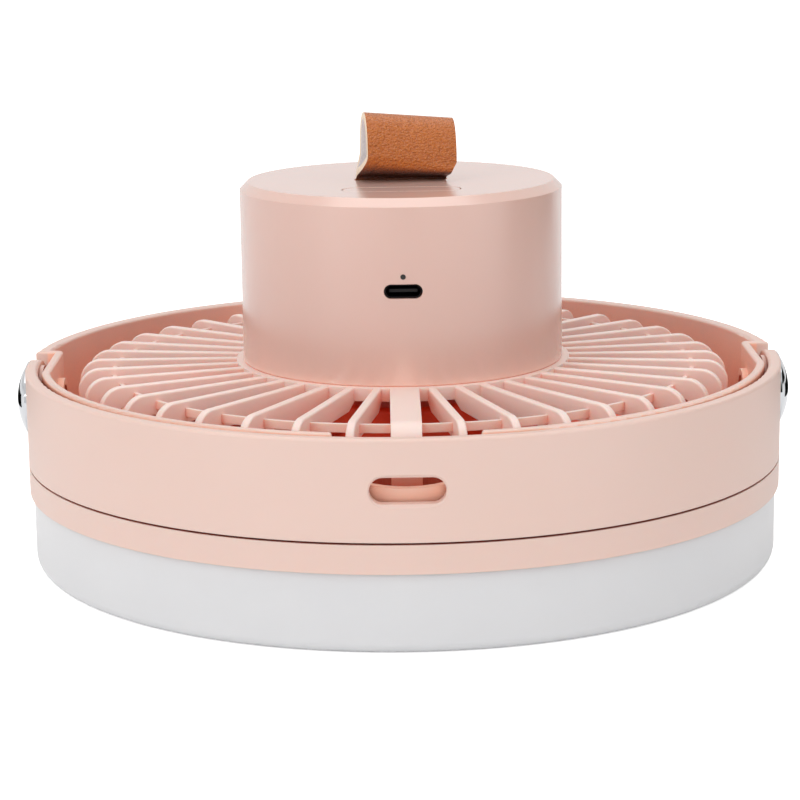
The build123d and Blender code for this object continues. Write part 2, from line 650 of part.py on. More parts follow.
# ================================================================ hub shell
with BuildPart() as hub_shell:
    with BuildSketch(Plane.XY.offset(grille_top)):
        Circle(hub_radius)
    extrude(amount=hub_height)
    chamfer(hub_shell.edges().sort_by(Axis.Z)[-1], hub_chamfer)
    chamfer(hub_shell.edges().sort_by(Axis.Z)[0], seam)
    with BuildSketch(Plane.XY.offset(grille_top)):
        Circle(hub_inner)
    extrude(amount=hub_height - hub_wall, mode=Mode.SUBTRACT)
    # posts that stand on the deck, against the wall
    with BuildSketch(Plane.XY.offset(grille_top)):
        with PolarLocations(post_circle, hub_screw_count, start_angle=quarter_start):
            Circle(post_radius)
    extrude(amount=post_height)
    with BuildSketch(Plane.XY.offset(grille_top)):
        with PolarLocations(post_circle, hub_screw_count, start_angle=quarter_start):
            Circle(screw_radius + running_gap)
    extrude(amount=screw_length, mode=Mode.SUBTRACT)
    # posts that hang from the top and carry the board
    with BuildSketch(Plane.XY.offset(board_top)):
        with Locations((board_post_x, board_post_y), (-board_post_x, board_post_y)):
            Circle(board_post_radius)
    extrude(amount=hub_ceiling - board_top + 0.5)
    with BuildSketch(Plane.XY.offset(board_top)):
        with Locations((board_post_x, board_post_y), (-board_post_x, board_post_y)):
            Circle(small_screw_radius + running_gap)
    extrude(amount=small_screw_length, mode=Mode.SUBTRACT)
    # port and indicator holes in the front
    with BuildSketch(Plane.XZ.offset(hub_inner - 3)):
        with Locations((0, port_height)):
            SlotOverall(port_length, port_opening)
        with Locations((0, indicator_height)):
            Circle(indicator_radius + running_gap)
    extrude(amount=hub_wall + 5, mode=Mode.SUBTRACT)
    # opening for the key
    with BuildSketch(Plane.XY.offset(hub_ceiling)):
        with Locations((0, -key_offset)):
            SlotOverall(key_length + 2 * key_gap, key_width + 2 * key_gap)
    extrude(amount=hub_wall, mode=Mode.SUBTRACT)
    # slot for the strap, with snap-in saddles for the pin on both sides
    saddle_middle = (strap_width / 2 + seam + pin_length / 2 + 1) / 2
    saddle_length = pin_length / 2 + 1 - strap_width / 2 - seam
    strap_frame = Plane.XY.move(Location((0, -strap_offset, 0)))
    with BuildSketch(strap_frame.offset(pin_height - 1.2)):
        with Locations((saddle_middle, 0), (-saddle_middle, 0)):
            Rectangle(saddle_length, 2 * (pin_radius + saddle_wall))
    extrude(amount=hub_ceiling - pin_height + 1.7)
    with BuildSketch(strap_frame.offset(pin_height - 1.2)):
        Rectangle(pin_length, 2 * pin_radius - 0.3)
    extrude(amount=1.2, mode=Mode.SUBTRACT)
    pin_frame = Plane(origin=(0, -strap_offset, pin_height), x_dir=(0, 1, 0), z_dir=(1, 0, 0))
    with BuildSketch(pin_frame.offset(-pin_length / 2)):
        Circle(pin_radius)
    extrude(amount=pin_length, mode=Mode.SUBTRACT)
    with BuildSketch(strap_frame.offset(hub_ceiling)):
        Rectangle(strap_width + 2 * seam, strap_slot)
    extrude(amount=hub_wall, mode=Mode.SUBTRACT)

# ================================================================ strap and its pin
with BuildPart() as leather_strap:
    # side view of the loop: x forward, y up, about the pin's axis
    strap_side = Plane(origin=(0, -strap_offset, pin_height), x_dir=(0, -1, 0), z_dir=(-1, 0, 0))
    top = pin_drop
    half = strap_thickness
    crest = top + strap_rise
    with BuildSketch(strap_side.offset(-strap_width / 2)):
        Circle(strap_turn_radius)
        with BuildLine():
            Polyline((-half, 0), (half, 0), (half, top + 1.0))
            Spline((half, top + 1.0), (strap_bulge - 1.6, top + 4.6), (strap_bulge, top + 8.5),
                   (strap_bulge - 1.9, crest - 2.0), (strap_bulge / 2, crest), (0.4, crest - 2.4),
                   (-1.5, top + 7.0), (-half, top + 1.0),
                   tangents=((0, 1), (0, -1)))
            Line((-half, top + 1.0), (-half, 0))
        make_face()
        with BuildLine():
            Spline((0, top + 1.6), (strap_bulge - 3.3, top + 5.2), (strap_bulge - strap_thickness, top + 8.5),
                   (strap_bulge - 3.2, crest - 3.2), (strap_bulge / 2, crest - strap_thickness),
                   (1.7, crest - 3.4), (0.1, top + 7.0), (0, top + 1.6),
                   tangents=((0.4, 1), (0, -1)))
        make_face(mode=Mode.SUBTRACT)
        Circle(pin_radius + running_gap, mode=Mode.SUBTRACT)
    extrude(amount=strap_width)

with BuildPart() as strap_pin:
    with BuildSketch(pin_frame.offset(-pin_length / 2)):
        Circle(pin_radius)
    extrude(amount=pin_length)

# ================================================================ key and switch
with BuildPart() as speed_key:
    key_bottom = key_flange_top - key_flange_thickness
    with BuildSketch(Plane.XY.offset(key_bottom)):
        with Locations((0, -key_offset)):
            SlotOverall(key_length + 2 * key_flange, key_width + 2 * key_flange)
    extrude(amount=key_flange_thickness)
    with BuildSketch(Plane.XY.offset(key_flange_top)):
        with Locations((0, -key_offset)):
            SlotOverall(key_length, key_width)
    extrude(amount=hub_top - key_flange_top)
    fillet(speed_key.faces().sort_by(Axis.Z)[-1].edges(), 0.3)
    with BuildSketch(Plane.XY.offset(key_stem_bottom)):
        with Locations((0, -key_stem_offset)):
            Circle(key_stem_radius)
    extrude(amount=key_bottom - key_stem_bottom)
    with BuildSketch(Plane.XY.offset(hub_top)):
        with Locations((-key_dot_spacing / 2, -key_dot_offset), (key_dot_spacing / 2, -key_dot_offset)):
            Circle(key_dot_radius)
    extrude(amount=-0.4, mode=Mode.SUBTRACT)

with BuildPart() as key_switch:
    with BuildSketch(Plane.XY.offset(board_top)):
        with Locations((0, -key_stem_offset)):
            Rectangle(switch_size, switch_size)
    extrude(amount=switch_height)
    with BuildSketch(Plane.XY.offset(board_top + switch_height - 1.8)):
        with Locations((0, -key_stem_offset)):
            Circle(key_stem_radius + 0.2)
    extrude(amount=1.8, mode=Mode.SUBTRACT)

with BuildPart() as switch_plunger:
    with BuildSketch(Plane.XY.offset(board_top + switch_height - 1.0)):
        with Locations((0, -key_stem_offset)):
            Circle(key_stem_radius)
    extrude(amount=1.0 + plunger_rise)

# ================================================================ board, port, indicator
with BuildPart() as main_board:
    with BuildSketch(Plane.XY.offset(board_bottom)):
        Circle(hub_inner - 0.5)
        with Locations((0, -board_edge - hub_radius / 2)):
            Rectangle(2 * board_half_width, hub_radius, mode=Mode.INTERSECT)
        with Locations((board_post_x, board_post_y), (-board_post_x, board_post_y)):
            Circle(small_screw_radius + fit_gap, mode=Mode.SUBTRACT)
    extrude(amount=board_thickness)

with BuildPart() as board_components:
    with BuildSketch(Plane.XY.offset(board_top)):
        with Locations((chip_side_x, -(board_edge + 5.5))):
            Rectangle(6.0, 5.0)
        with Locations((-chip_side_x, -(board_edge + 6.0))):
            Rectangle(7.0, 7.0)
        capacitor_y = -(hub_inner - capacitor_inset)
        with Locations((capacitor_x, capacitor_y), (-capacitor_x, capacitor_y)):
            Rectangle(3.2, 1.6)
    extrude(amount=component_height)

with BuildPart() as usb_c_socket:
    with BuildSketch(Plane.XZ.offset(socket_front - socket_depth)):
        with Locations((0, port_height)):
            SlotOverall(socket_length, socket_thickness)
    extrude(amount=socket_depth)
    with BuildSketch(Plane.XZ.offset(socket_front - socket_depth + 1)):
        with Locations((0, port_height)):
            SlotOverall(socket_length - 2 * socket_wall, socket_thickness - 2 * socket_wall)
    extrude(amount=socket_depth, mode=Mode.SUBTRACT)

with BuildPart() as usb_c_tongue:
    with BuildSketch(Plane.XZ.offset(socket_front - socket_depth + 1)):
        with Locations((0, port_height)):
            Rectangle(tongue_width, tongue_thickness)
    extrude(amount=socket_depth - 2)

with BuildPart() as charge_led:
    with BuildSketch(Plane.XY.offset(board_top)):
        with Locations((0, led_y)):
            Rectangle(1.6, 0.8)
    extrude(amount=0.6)

with BuildPart() as indicator_light_pipe:
    with BuildSketch(Plane.XZ.offset(-led_y)):
        with Locations((0, indicator_height)):
            Circle(indicator_radius)
    extrude(amount=hub_radius - 0.1 + led_y)
    with BuildSketch(Plane.XY.offset(board_top + 0.7)):
        with Locations((0, led_y)):
            Rectangle(1.8, 1.2)
    extrude(amount=indicator_height + indicator_radius - board_top - 0.7)

# ================================================================ cells
with BuildPart() as battery_cradle:
    with BuildSketch(Plane.XY.offset(cradle_bottom)):
        Circle(hub_inner - 0.4)
        Rectangle(cell_length + 2 * (tab_thickness + cradle_end), 2 * cradle_half_width, mode=Mode.INTERSECT)
    extrude(amount=cell_height - cradle_bottom)
    pocket_length = cell_length + 2 * tab_thickness + fit_gap
    with BuildSketch(Plane.YZ.offset(-pocket_length / 2)):
        with Locations((-cell_pitch / 2, cell_height), (cell_pitch / 2, cell_height)):
            Circle(cell_radius + 0.1)
    extrude(amount=pocket_length, mode=Mode.SUBTRACT)
    with BuildSketch(Plane.XY.offset(grille_top)):
        with GridLocations(2 * leg_x, 2 * leg_y, 2, 2):
            Circle(leg_radius)
    extrude(amount=cradle_bottom - grille_top)
    with BuildSketch(Plane.XY.offset(grille_top)):
        with GridLocations(2 * leg_x, 2 * leg_y, 2, 2):
            Circle(screw_radius + running_gap)
    extrude(amount=screw_length, mode=Mode.SUBTRACT)


def battery_cell(side):
    """One round cell lying along X, its button end at +X."""
    with BuildPart() as cell:
        with BuildSketch(Plane.YZ.offset(-cell_length / 2)):
            with Locations((side * cell_pitch / 2, cell_height)):
                Circle(cell_radius)
        extrude(amount=cell_length - 1.0)
        fillet(cell.edges().filter_by(GeomType.CIRCLE), 0.6)
        with BuildSketch(Plane.YZ.offset(cell_length / 2 - 1.0)):
            with Locations((side * cell_pitch / 2, cell_height)):
                Circle(3.0)
        extrude(amount=1.0)
    return cell


battery_cell_front = battery_cell(-1)
battery_cell_rear = battery_cell(1)

with BuildPart() as cell_tabs:
    for side in (-1, 1):
        with BuildSketch(Plane.YZ.offset(side * cell_length / 2)):
            with Locations((0, cell_height + tab_rise)):
                Rectangle(cell_pitch + tab_height, tab_height)
        extrude(amount=side * tab_thickness)

# ================================================================ motor
with BuildPart() as motor_can:
    with BuildSketch(Plane.XY.offset(grille_top)):
        Circle(motor_radius)
    extrude(amount=motor_height)
    with BuildSketch(Plane.XY.offset(grille_top + motor_wall)):
        Circle(motor_inner)
    extrude(amount=motor_height, mode=Mode.SUBTRACT)
    with BuildSketch(Plane.XY.offset(neck_bottom)):
        Circle(motor_neck_radius)
    extrude(amount=grille_top - neck_bottom)
    with BuildSketch(Plane.XY.offset(neck_bottom)):
        Circle(bush_radius)
    extrude(amount=grille_top + motor_wall - neck_bottom, mode=Mode.SUBTRACT)
    with BuildSketch(Plane.XY.offset(grille_top)):
        with Locations((motor_screw_circle, 0), (-motor_screw_circle, 0)):
            Circle(small_screw_radius + running_gap)
    extrude(amount=motor_wall, mode=Mode.SUBTRACT)

with BuildPart() as motor_end_cap:
    with BuildSketch(Plane.XY.offset(motor_top - 1.5)):
        ring_sketch(motor_inner, bush_radius)
    extrude(amount=1.5)
    with BuildSketch(Plane.XY.offset(motor_top)):
        ring_sketch(bush_radius + 1.2, bush_radius)
    extrude(amount=motor_end_boss)

with BuildPart() as motor_magnets:
    with BuildSketch(Plane.XY.offset(grille_top + motor_wall + 1)):
        ring_sketch(motor_inner, motor_inner - magnet_thickness)
        Rectangle(5.0, 3 * motor_inner, mode=Mode.SUBTRACT)
    extrude(amount=magnet_height)

with BuildPart() as motor_bushes:
    with BuildSketch(Plane.XY.offset(neck_bottom)):
        ring_sketch(bush_radius, shaft_radius + running_gap)
    extrude(amount=bush_length)
    with BuildSketch(Plane.XY.offset(motor_end_top - bush_length)):
        ring_sketch(bush_radius, shaft_radius + running_gap)
    extrude(amount=bush_length)

with BuildPart() as motor_armature:
    armature_radius = motor_inner - magnet_thickness - armature_gap
    with BuildSketch(Plane.XY.offset(grille_top + motor_wall + 1.2)):
        ring_sketch(armature_radius, shaft_radius)
        with PolarLocations(armature_radius - 1.6, 5):
            Rectangle(3.8, 1.2, mode=Mode.SUBTRACT)
        with PolarLocations(armature_radius - 4.6, 5):
            SlotOverall(4.4, 3.6, mode=Mode.SUBTRACT)
    extrude(amount=armature_height)

with BuildPart() as motor_shaft:
    with BuildSketch(Plane.XY.offset(shaft_bottom)):
        Circle(shaft_radius)
    extrude(amount=shaft_top - shaft_bottom)
    chamfer(motor_shaft.edges().filter_by(GeomType.CIRCLE), 0.3)

# ================================================================ rotor
blade_stations = (
    # distance from the axis, chord, pitch in degrees, camber
    (rotor_hub_radius - 3.0, 15.0, 42.0, 1.6),
    (rotor_radius * 0.66, 23.0, 31.0, 2.4),
    (rotor_radius + 2.0, 30.0, 23.0, 2.6),
)

with BuildPart() as fan_rotor:
    with BuildPart(mode=Mode.PRIVATE) as blade:
        for distance, chord, pitch, camber in blade_stations:
            with BuildSketch(Plane(origin=(distance, 0, blade_mid_height), x_dir=(0, 1, 0), z_dir=(1, 0, 0))):
                along = Vector(cos(radians(pitch)), sin(radians(pitch)))
                across = Vector(-sin(radians(pitch)), cos(radians(pitch)))
                lower = across * (-blade_thickness / 2)
                upper = across * (blade_thickness / 2)
                with BuildLine():
                    under = ThreePointArc(lower - along * chord / 2, lower + across * camber,
                                          lower + along * chord / 2)
                    over = ThreePointArc(upper - along * chord / 2, upper + across * camber,
                                         upper + along * chord / 2)
                    Line(under @ 0, over @ 0)
                    Line(under @ 1, over @ 1)
                make_face()
        loft()
        with BuildSketch(Plane.XY):
            Circle(rotor_radius)
        extrude(amount=2 * grille_top, mode=Mode.INTERSECT)
    with BuildSketch(Plane.XY.offset(rotor_bottom)):
        Circle(rotor_hub_radius)
    extrude(amount=rotor_hub_height)
    fillet(fan_rotor.edges().sort_by(Axis.Z)[-1], 1.5)
    with PolarLocations(0, blade_count):
        add(blade.part)
    with BuildSketch(Plane.XY.offset(rotor_bottom)):
        Circle(rotor_hub_radius - rotor_hub_wall)
    extrude(amount=rotor_hub_height - rotor_hub_wall, mode=Mode.SUBTRACT)
    with BuildSketch(Plane.XY.offset(rotor_bottom + nut_height)):
        Circle(rotor_boss_radius)
    extrude(amount=rotor_hub_height - nut_height)
    with BuildSketch(Plane.XY.offset(rotor_bottom)):
        Circle(shaft_radius)
    extrude(amount=rotor_hub_height, mode=Mode.SUBTRACT)

with BuildPart() as rotor_nut:
    with BuildSketch(Plane.XY.offset(rotor_bottom)):
        RegularPolygon(nut_radius, 6)
        Circle(shaft_radius, mode=Mode.SUBTRACT)
    extrude(amount=nut_height)

# ================================================================ leads
with BuildPart() as lamp_lead:
    lead_height = grille_top - channel_wall - 0.1 - lead_radius
    lead_down = basket_radius - channel_wall - 0.1 - lead_radius
    with BuildLine(Plane.YZ) as lead_path:
        FilletPolyline(
            (lead_hole_y, board_bottom),
            (lead_hole_y, lead_height),
            (-lead_down, lead_height),
            (-lead_down, floor_bottom),
            radius=[3.0, lead_down - rib_shoulder],
        )
    with BuildSketch(Plane(origin=lead_path.line @ 0, z_dir=lead_path.line % 0)):
        Circle(lead_radius)
    sweep(path=lead_path.line)

with BuildPart() as motor_lead:
    motor_lead_radius = 0.9
    motor_lead_x = 7.0
    motor_lead_y = -(board_edge + 6.0)
    with BuildLine(Plane.YZ.offset(motor_lead_x)) as motor_path:
        FilletPolyline(
            (motor_lead_y, board_bottom),
            (motor_lead_y, grille_top + motor_height / 2),
            (-sqrt(motor_radius ** 2 - (motor_lead_x - motor_lead_radius) ** 2) - seam,
             grille_top + motor_height / 2),
            radius=4.5,
        )
    with BuildSketch(Plane(origin=motor_path.line @ 0, z_dir=motor_path.line % 0)):
        Circle(motor_lead_radius)
    sweep(path=motor_path.line)

with BuildPart() as battery_leads:
    battery_lead_radius = 0.8
    lead_y = -(board_edge + 2.0)
    lead_x = cell_length / 2 + tab_thickness + battery_lead_radius + running_gap
    lead_z = cell_top + 2.2
    for side in (-1, 1):
        with BuildLine() as battery_path:
            FilletPolyline(
                (side * (board_half_width - 2.5), lead_y, board_top),
                (side * (board_half_width - 2.5), lead_y, lead_z),
                (side * lead_x, -cell_pitch / 2 - 2.0, lead_z),
                (side * lead_x, -cell_pitch / 2 - 2.0, cell_height + tab_rise),
                radius=3.0,
            )
        with BuildSketch(Plane(origin=battery_path.line @ 0, z_dir=battery_path.line % 0)):
            Circle(battery_lead_radius)
        sweep(path=battery_path.line)

# ================================================================ pivots
def pivot_cap(side):
    """Domed chrome cap in the stand's seat, hollow over the head of the pivot screw."""
    dome_radius = ((cap_diameter / 2) ** 2 + cap_dome ** 2) / (2 * cap_dome)
    dome_angle = degrees(asin(cap_diameter / 2 / dome_radius))
    with BuildPart() as cap:
        with BuildSketch(Plane(origin=(side * seat_face, 0, pivot_height), x_dir=(0, 1, 0), z_dir=(0, 0, side))):
            with BuildLine():
                rim = Line((0, 0), (cap_diameter / 2, 0))
                skirt = Line(rim @ 1, (cap_diameter / 2, -cap_rim * 1.0))
                dome = ThreePointArc(
                    skirt @ 1,
                    (dome_radius * sin(radians(dome_angle / 2)),
                     -cap_rim - cap_dome + dome_radius * (1 - cos(radians(dome_angle / 2)))),
                    (0, -cap_rim - cap_dome),
                )
                Line(dome @ 1, (0, 0))
            make_face()
        revolve(axis=Axis((side * seat_face, 0, pivot_height), (side, 0, 0)))
        with BuildSketch(side_plane(seat_face, side)):
            Circle(pivot_head_radius + 0.6)
        extrude(amount=cap_rim + cap_dome - cap_shell, mode=Mode.SUBTRACT)
    return cap


def pivot_screw(side):
    """Shoulder screw: the stand turns on its shoulder, its thread is in the insert."""
    with BuildPart() as screw:
        with BuildSketch(side_plane(flat_outer, side)):
            Circle(pivot_radius)
        extrude(amount=seat_face + running_gap - flat_outer)
        with BuildSketch(side_plane(seat_face + running_gap, side)):
            Circle(pivot_head_radius)
        extrude(amount=pivot_head_height)
        with BuildSketch(side_plane(flat_outer - insert_length, side)):
            Circle(pivot_thread_radius)
        extrude(amount=insert_length)
        with BuildSketch(side_plane(seat_face + running_gap + pivot_head_height, side)):
            RegularPolygon(2.0, 6)
        extrude(amount=-1.2, mode=Mode.SUBTRACT)
    return screw


def pivot_insert(side):
    """Knurled brass insert in the casing's boss."""
    with BuildPart() as insert:
        with BuildSketch(side_plane(flat_outer - running_gap - insert_length, side)):
            ring_sketch(insert_radius, pivot_thread_radius)
        extrude(amount=insert_length)
    return insert


def friction_washer(side):
    """Washer between the flat and the stand's pad: it holds the stand where it is put."""
    with BuildPart() as washer:
        with BuildSketch(side_plane(flat_outer, side)):
            ring_sketch(washer_radius, pivot_radius + fit_gap)
        extrude(amount=pivot_pad_gap - running_gap)
    return washer


# ================================================================ screws
def screw_group(places, height, solid):
    """Identical screws with their heads below the height and their shanks up."""
    with BuildPart() as group:
        for x, y in places:
            add(solid.moved(Location((x, y, height))))
    return group


def on_circle(radius, count, start):
    """Points on a circle, in the order of PolarLocations."""
    steps = [radians(start + 360 * step / count) for step in range(count)]
    return [(radius * cos(step), radius * sin(step)) for step in steps]


screw = screw_solid(screw_radius, screw_length, screw_head_radius, screw_head_height, screw_socket_radius)
small_screw = screw_solid(small_screw_radius, small_screw_length, small_head_radius, small_head_height,
                          small_socket_radius)
motor_screw = screw_solid(small_screw_radius, deck_thickness + motor_wall + 0.6, small_head_radius,
                          small_head_height, small_socket_radius)
hub_places = on_circle(post_circle, hub_screw_count, quarter_start)
leg_places = [(x, y) for x in (-leg_x, leg_x) for y in (-leg_y, leg_y)]
basket_places = on_circle(basket_middle, basket_screw_count, basket_screw_start)
outlet_places = on_circle(outlet_boss_circle, outlet_screw_count, quarter_start)
board_places = [(board_post_x, board_post_y), (-board_post_x, board_post_y)]
motor_places = [(motor_screw_circle, 0), (-motor_screw_circle, 0)]
deck_screws = screw_group(hub_places + leg_places, deck_bottom, screw)
basket_screws = screw_group(basket_places, floor_bottom, screw)
outlet_screws = screw_group(outlet_places, outlet_recess + small_head_height, small_screw)
board_screws = screw_group(board_places, board_bottom, small_screw)
motor_screws = screw_group(motor_places, deck_bottom, motor_screw)

# ================================================================ files
pieces = {
    "main_casing": main_casing,
    "swing_stand": swing_stand,
    "diffuser_ring": diffuser_ring,
    "led_board": led_board,
    "led_chips": led_chips,
    "front_grille": front_grille,
    "front_cap": front_cap,
    "rear_grille": rear_grille,
    "hub_shell": hub_shell,
    "leather_strap": leather_strap,
    "strap_pin": strap_pin,
    "speed_key": speed_key,
    "key_switch": key_switch,
    "switch_plunger": switch_plunger,
    "main_board": main_board,
    "board_components": board_components,
    "usb_c_socket": usb_c_socket,
    "usb_c_tongue": usb_c_tongue,
    "charge_led": charge_led,
    "indicator_light_pipe": indicator_light_pipe,
    "battery_cradle": battery_cradle,
    "battery_cell_front": battery_cell_front,
    "battery_cell_rear": battery_cell_rear,
    "cell_tabs": cell_tabs,
    "motor_can": motor_can,
    "motor_end_cap": motor_end_cap,
    "motor_magnets": motor_magnets,
    "motor_bushes": motor_bushes,
    "motor_armature": motor_armature,
    "motor_shaft": motor_shaft,
    "fan_rotor": fan_rotor,
    "rotor_nut": rotor_nut,
    "lamp_lead": lamp_lead,
    "motor_lead": motor_lead,
    "battery_leads": battery_leads,
    "pivot_cap_left": pivot_cap(-1),
    "pivot_cap_right": pivot_cap(1),
    "pivot_screw_left": pivot_screw(-1),
    "pivot_screw_right": pivot_screw(1),
    "pivot_insert_left": pivot_insert(-1),
    "pivot_insert_right": pivot_insert(1),
    "friction_washer_left": friction_washer(-1),
    "friction_washer_right": friction_washer(1),
    "deck_screws": deck_screws,
    "basket_screws": basket_screws,
    "outlet_screws": outlet_screws,
    "board_screws": board_screws,
    "motor_screws": motor_screws,
}

os.makedirs("parts", exist_ok=True)
for name, piece in pieces.items():
    piece.part.label = name
    export_step(piece.part, f"parts/{name}.step")
    print(name, len(piece.part.solids()), "solids", round(piece.part.volume, 1), "mm3")
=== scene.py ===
# %% [markdown]
# A camping fan, dressed for its portrait
#
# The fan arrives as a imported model: every moulded shell, screw and blade is already the right
# size and in the right place. This lesson does what a finisher does with such a model. It sets
# up the studio, works out what each surface is made of, and makes the one soft part, the
# leather loop, as real leather behaves.

import json
from math import cos, pi, radians, sin

import bmesh
import bpy
from mathutils import Matrix, Vector

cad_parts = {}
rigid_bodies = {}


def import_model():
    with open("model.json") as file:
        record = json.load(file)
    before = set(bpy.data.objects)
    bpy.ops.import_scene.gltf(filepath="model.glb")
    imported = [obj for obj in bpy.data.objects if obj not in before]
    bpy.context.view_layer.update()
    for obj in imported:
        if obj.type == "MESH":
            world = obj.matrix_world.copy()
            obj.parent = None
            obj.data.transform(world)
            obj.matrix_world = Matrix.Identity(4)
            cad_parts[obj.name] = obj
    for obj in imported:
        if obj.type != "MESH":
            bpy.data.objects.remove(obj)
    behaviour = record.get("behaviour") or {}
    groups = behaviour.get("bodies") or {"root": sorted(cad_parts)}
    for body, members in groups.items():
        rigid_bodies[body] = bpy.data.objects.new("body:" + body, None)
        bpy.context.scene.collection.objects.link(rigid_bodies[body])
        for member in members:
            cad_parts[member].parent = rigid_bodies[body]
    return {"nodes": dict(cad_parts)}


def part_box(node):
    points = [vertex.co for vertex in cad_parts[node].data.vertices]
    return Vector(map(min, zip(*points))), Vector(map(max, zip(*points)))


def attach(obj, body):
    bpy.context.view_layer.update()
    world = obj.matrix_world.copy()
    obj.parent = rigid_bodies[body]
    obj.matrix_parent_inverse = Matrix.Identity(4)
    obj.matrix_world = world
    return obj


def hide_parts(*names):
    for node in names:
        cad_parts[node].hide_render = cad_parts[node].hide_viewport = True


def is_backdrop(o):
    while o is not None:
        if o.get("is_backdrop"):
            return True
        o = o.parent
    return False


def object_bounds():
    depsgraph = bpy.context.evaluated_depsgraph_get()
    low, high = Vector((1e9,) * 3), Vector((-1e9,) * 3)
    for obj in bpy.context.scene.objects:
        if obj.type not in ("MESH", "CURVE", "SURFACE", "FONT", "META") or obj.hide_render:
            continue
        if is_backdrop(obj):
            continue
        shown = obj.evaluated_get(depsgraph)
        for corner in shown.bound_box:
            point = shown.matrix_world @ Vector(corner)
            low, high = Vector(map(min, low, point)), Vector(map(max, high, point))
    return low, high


for leftover in list(bpy.data.objects):
    bpy.data.objects.remove(leftover)

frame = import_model()
nodes = frame["nodes"]
cad_low, cad_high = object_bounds()
print("pieces in the frame:", len(nodes))
print("size in mm:", [round(1000 * (high - low), 1) for low, high in zip(cad_low, cad_high)])

# %% [markdown]
# Blender counts in metres and the fan is drawn in millimetres, so one factor joins the two.
# Colours are written as the hex values that a paint chart would give. Shaders work with linear
# light, so a function turns one into the other, and nothing else in the file does.

# %% Units and colour
MM = 0.001


def linear(hex_colour):
    """The linear red, green, blue and alpha of an sRGB hex colour."""
    channels = [int(hex_colour[i:i + 2], 16) / 255 for i in (1, 3, 5)]
    return [c / 12.92 if c <= 0.04045 else ((c + 0.055) / 1.055) ** 2.4 for c in channels] + [1.0]


print("mid pink in linear light:", [round(c, 3) for c in linear("#E7CBC0")])

# %% [markdown]
# The camera stands a little over half a metre away and looks slightly down. A long lens keeps
# the drum of the fan from bulging. The camera is turned about its own axis by less than a
# degree, as if it were held by hand.

# %% Camera
CAMERA_DISTANCE = 622.2 * MM
CAMERA_HEIGHT = 170.9 * MM
CAMERA_AROUND = radians(-0.42)      # about the fan, seen from above
CAMERA_AIM = radians(0.08)          # a touch to the left of the fan's middle
CAMERA_DOWN = radians(12.08)
CAMERA_ROLL = radians(-0.75)
LENS_MM = 112.3
SENSOR_MM = 36.0

camera_data = bpy.data.cameras.new("portrait_camera")
camera_data.sensor_width = SENSOR_MM
camera_data.lens = LENS_MM
camera_data.clip_start = 0.01
camera_data.clip_end = 50.0
camera = bpy.data.objects.new("portrait_camera", camera_data)
bpy.context.scene.collection.objects.link(camera)
around = Matrix.Rotation(CAMERA_AROUND, 4, "Z")
camera.matrix_world = (
    around
    @ Matrix.Translation((0, -CAMERA_DISTANCE, CAMERA_HEIGHT))
    @ Matrix.Rotation(CAMERA_AIM, 4, "Z")
    @ Matrix.Rotation(pi / 2 - CAMERA_DOWN, 4, "X")
    @ Matrix.Rotation(CAMERA_ROLL, 4, "Z")
)
bpy.context.scene.camera = camera
bpy.context.scene.view_settings.view_transform = "Standard"
print("camera stands at (mm):", [round(v / MM, 1) for v in camera.matrix_world.translation])

# %% [markdown]
# Every finish below is a small tree of shader nodes. One helper adds a node: its settings are
# keyword arguments, and each of its inputs is given either a plain value or the output of an
# earlier node, in which case the two are linked.

# %% One helper for shader nodes
def add_node(tree, kind, inputs=None, **settings):
    """A new node in the tree, with its settings and its inputs filled or linked."""
    node = tree.nodes.new(kind)
    for name, value in settings.items():
        setattr(node, name, value)
    for name, value in (inputs or {}).items():
        if isinstance(value, bpy.types.NodeSocket):
            tree.links.new(value, node.inputs[name])
        else:
            node.inputs[name].default_value = value
    return node


def new_material(name):
    """An empty material with an output and a principled surface, and the surface's tree."""
    material = bpy.data.materials.new(name)
    material.use_nodes = True
    tree = material.node_tree
    tree.nodes.clear()
    surface = add_node(tree, "ShaderNodeBsdfPrincipled")
    add_node(tree, "ShaderNodeOutputMaterial", {"Surface": surface.outputs["BSDF"]})
    return material, tree, surface


# %% [markdown]
# The studio is a white sweep and soft light from all round. The floor is a wide disc. A matt
# white floor never quite reaches white in a render, so to the camera it also glows a little, and
# a quarter as much in reflections. That glow lights nothing, and the fan's own shadow still shows.

# %% Floor
FLOOR_RADIUS = 12.0
FLOOR_GLOW = 0.6
FLOOR_GLOW_IN_GLOSS = 0.15

floor_mesh = bmesh.new()
bmesh.ops.create_circle(floor_mesh, cap_ends=True, segments=96, radius=FLOOR_RADIUS)
floor_data = bpy.data.meshes.new("studio_floor")
floor_mesh.to_mesh(floor_data)
floor_mesh.free()
floor = bpy.data.objects.new("studio_floor", floor_data)
bpy.context.scene.collection.objects.link(floor)
floor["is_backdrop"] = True

floor_material, tree, surface = new_material("white_sweep")
seen = add_node(tree, "ShaderNodeLightPath").outputs
glow_in_gloss = add_node(tree, "ShaderNodeMath", {0: seen["Is Glossy Ray"], 1: FLOOR_GLOW_IN_GLOSS},
                         operation="MULTIPLY").outputs[0]
glow = add_node(tree, "ShaderNodeMath", {0: seen["Is Camera Ray"], 1: FLOOR_GLOW, 2: glow_in_gloss},
                operation="MULTIPLY_ADD").outputs[0]
surface.inputs["Base Color"].default_value = linear("#FAFAFA")
surface.inputs["Roughness"].default_value = 0.9
surface.inputs["Specular IOR Level"].default_value = 0.0
surface.inputs["Emission Color"].default_value = (1, 1, 1, 1)
tree.links.new(glow, surface.inputs["Emission Strength"])
floor_data.materials.append(floor_material)
print("floor's radius (m):", FLOOR_RADIUS)

# %% [markdown]
# The sky is treated the same way. To the camera it is pure white. In reflections it is a little
# dimmer, because a whole white sky would wash out the polished shells, and as the light that
# falls on the fan it is dimmer again. Nothing on the fan is see-through, so there is no other case.

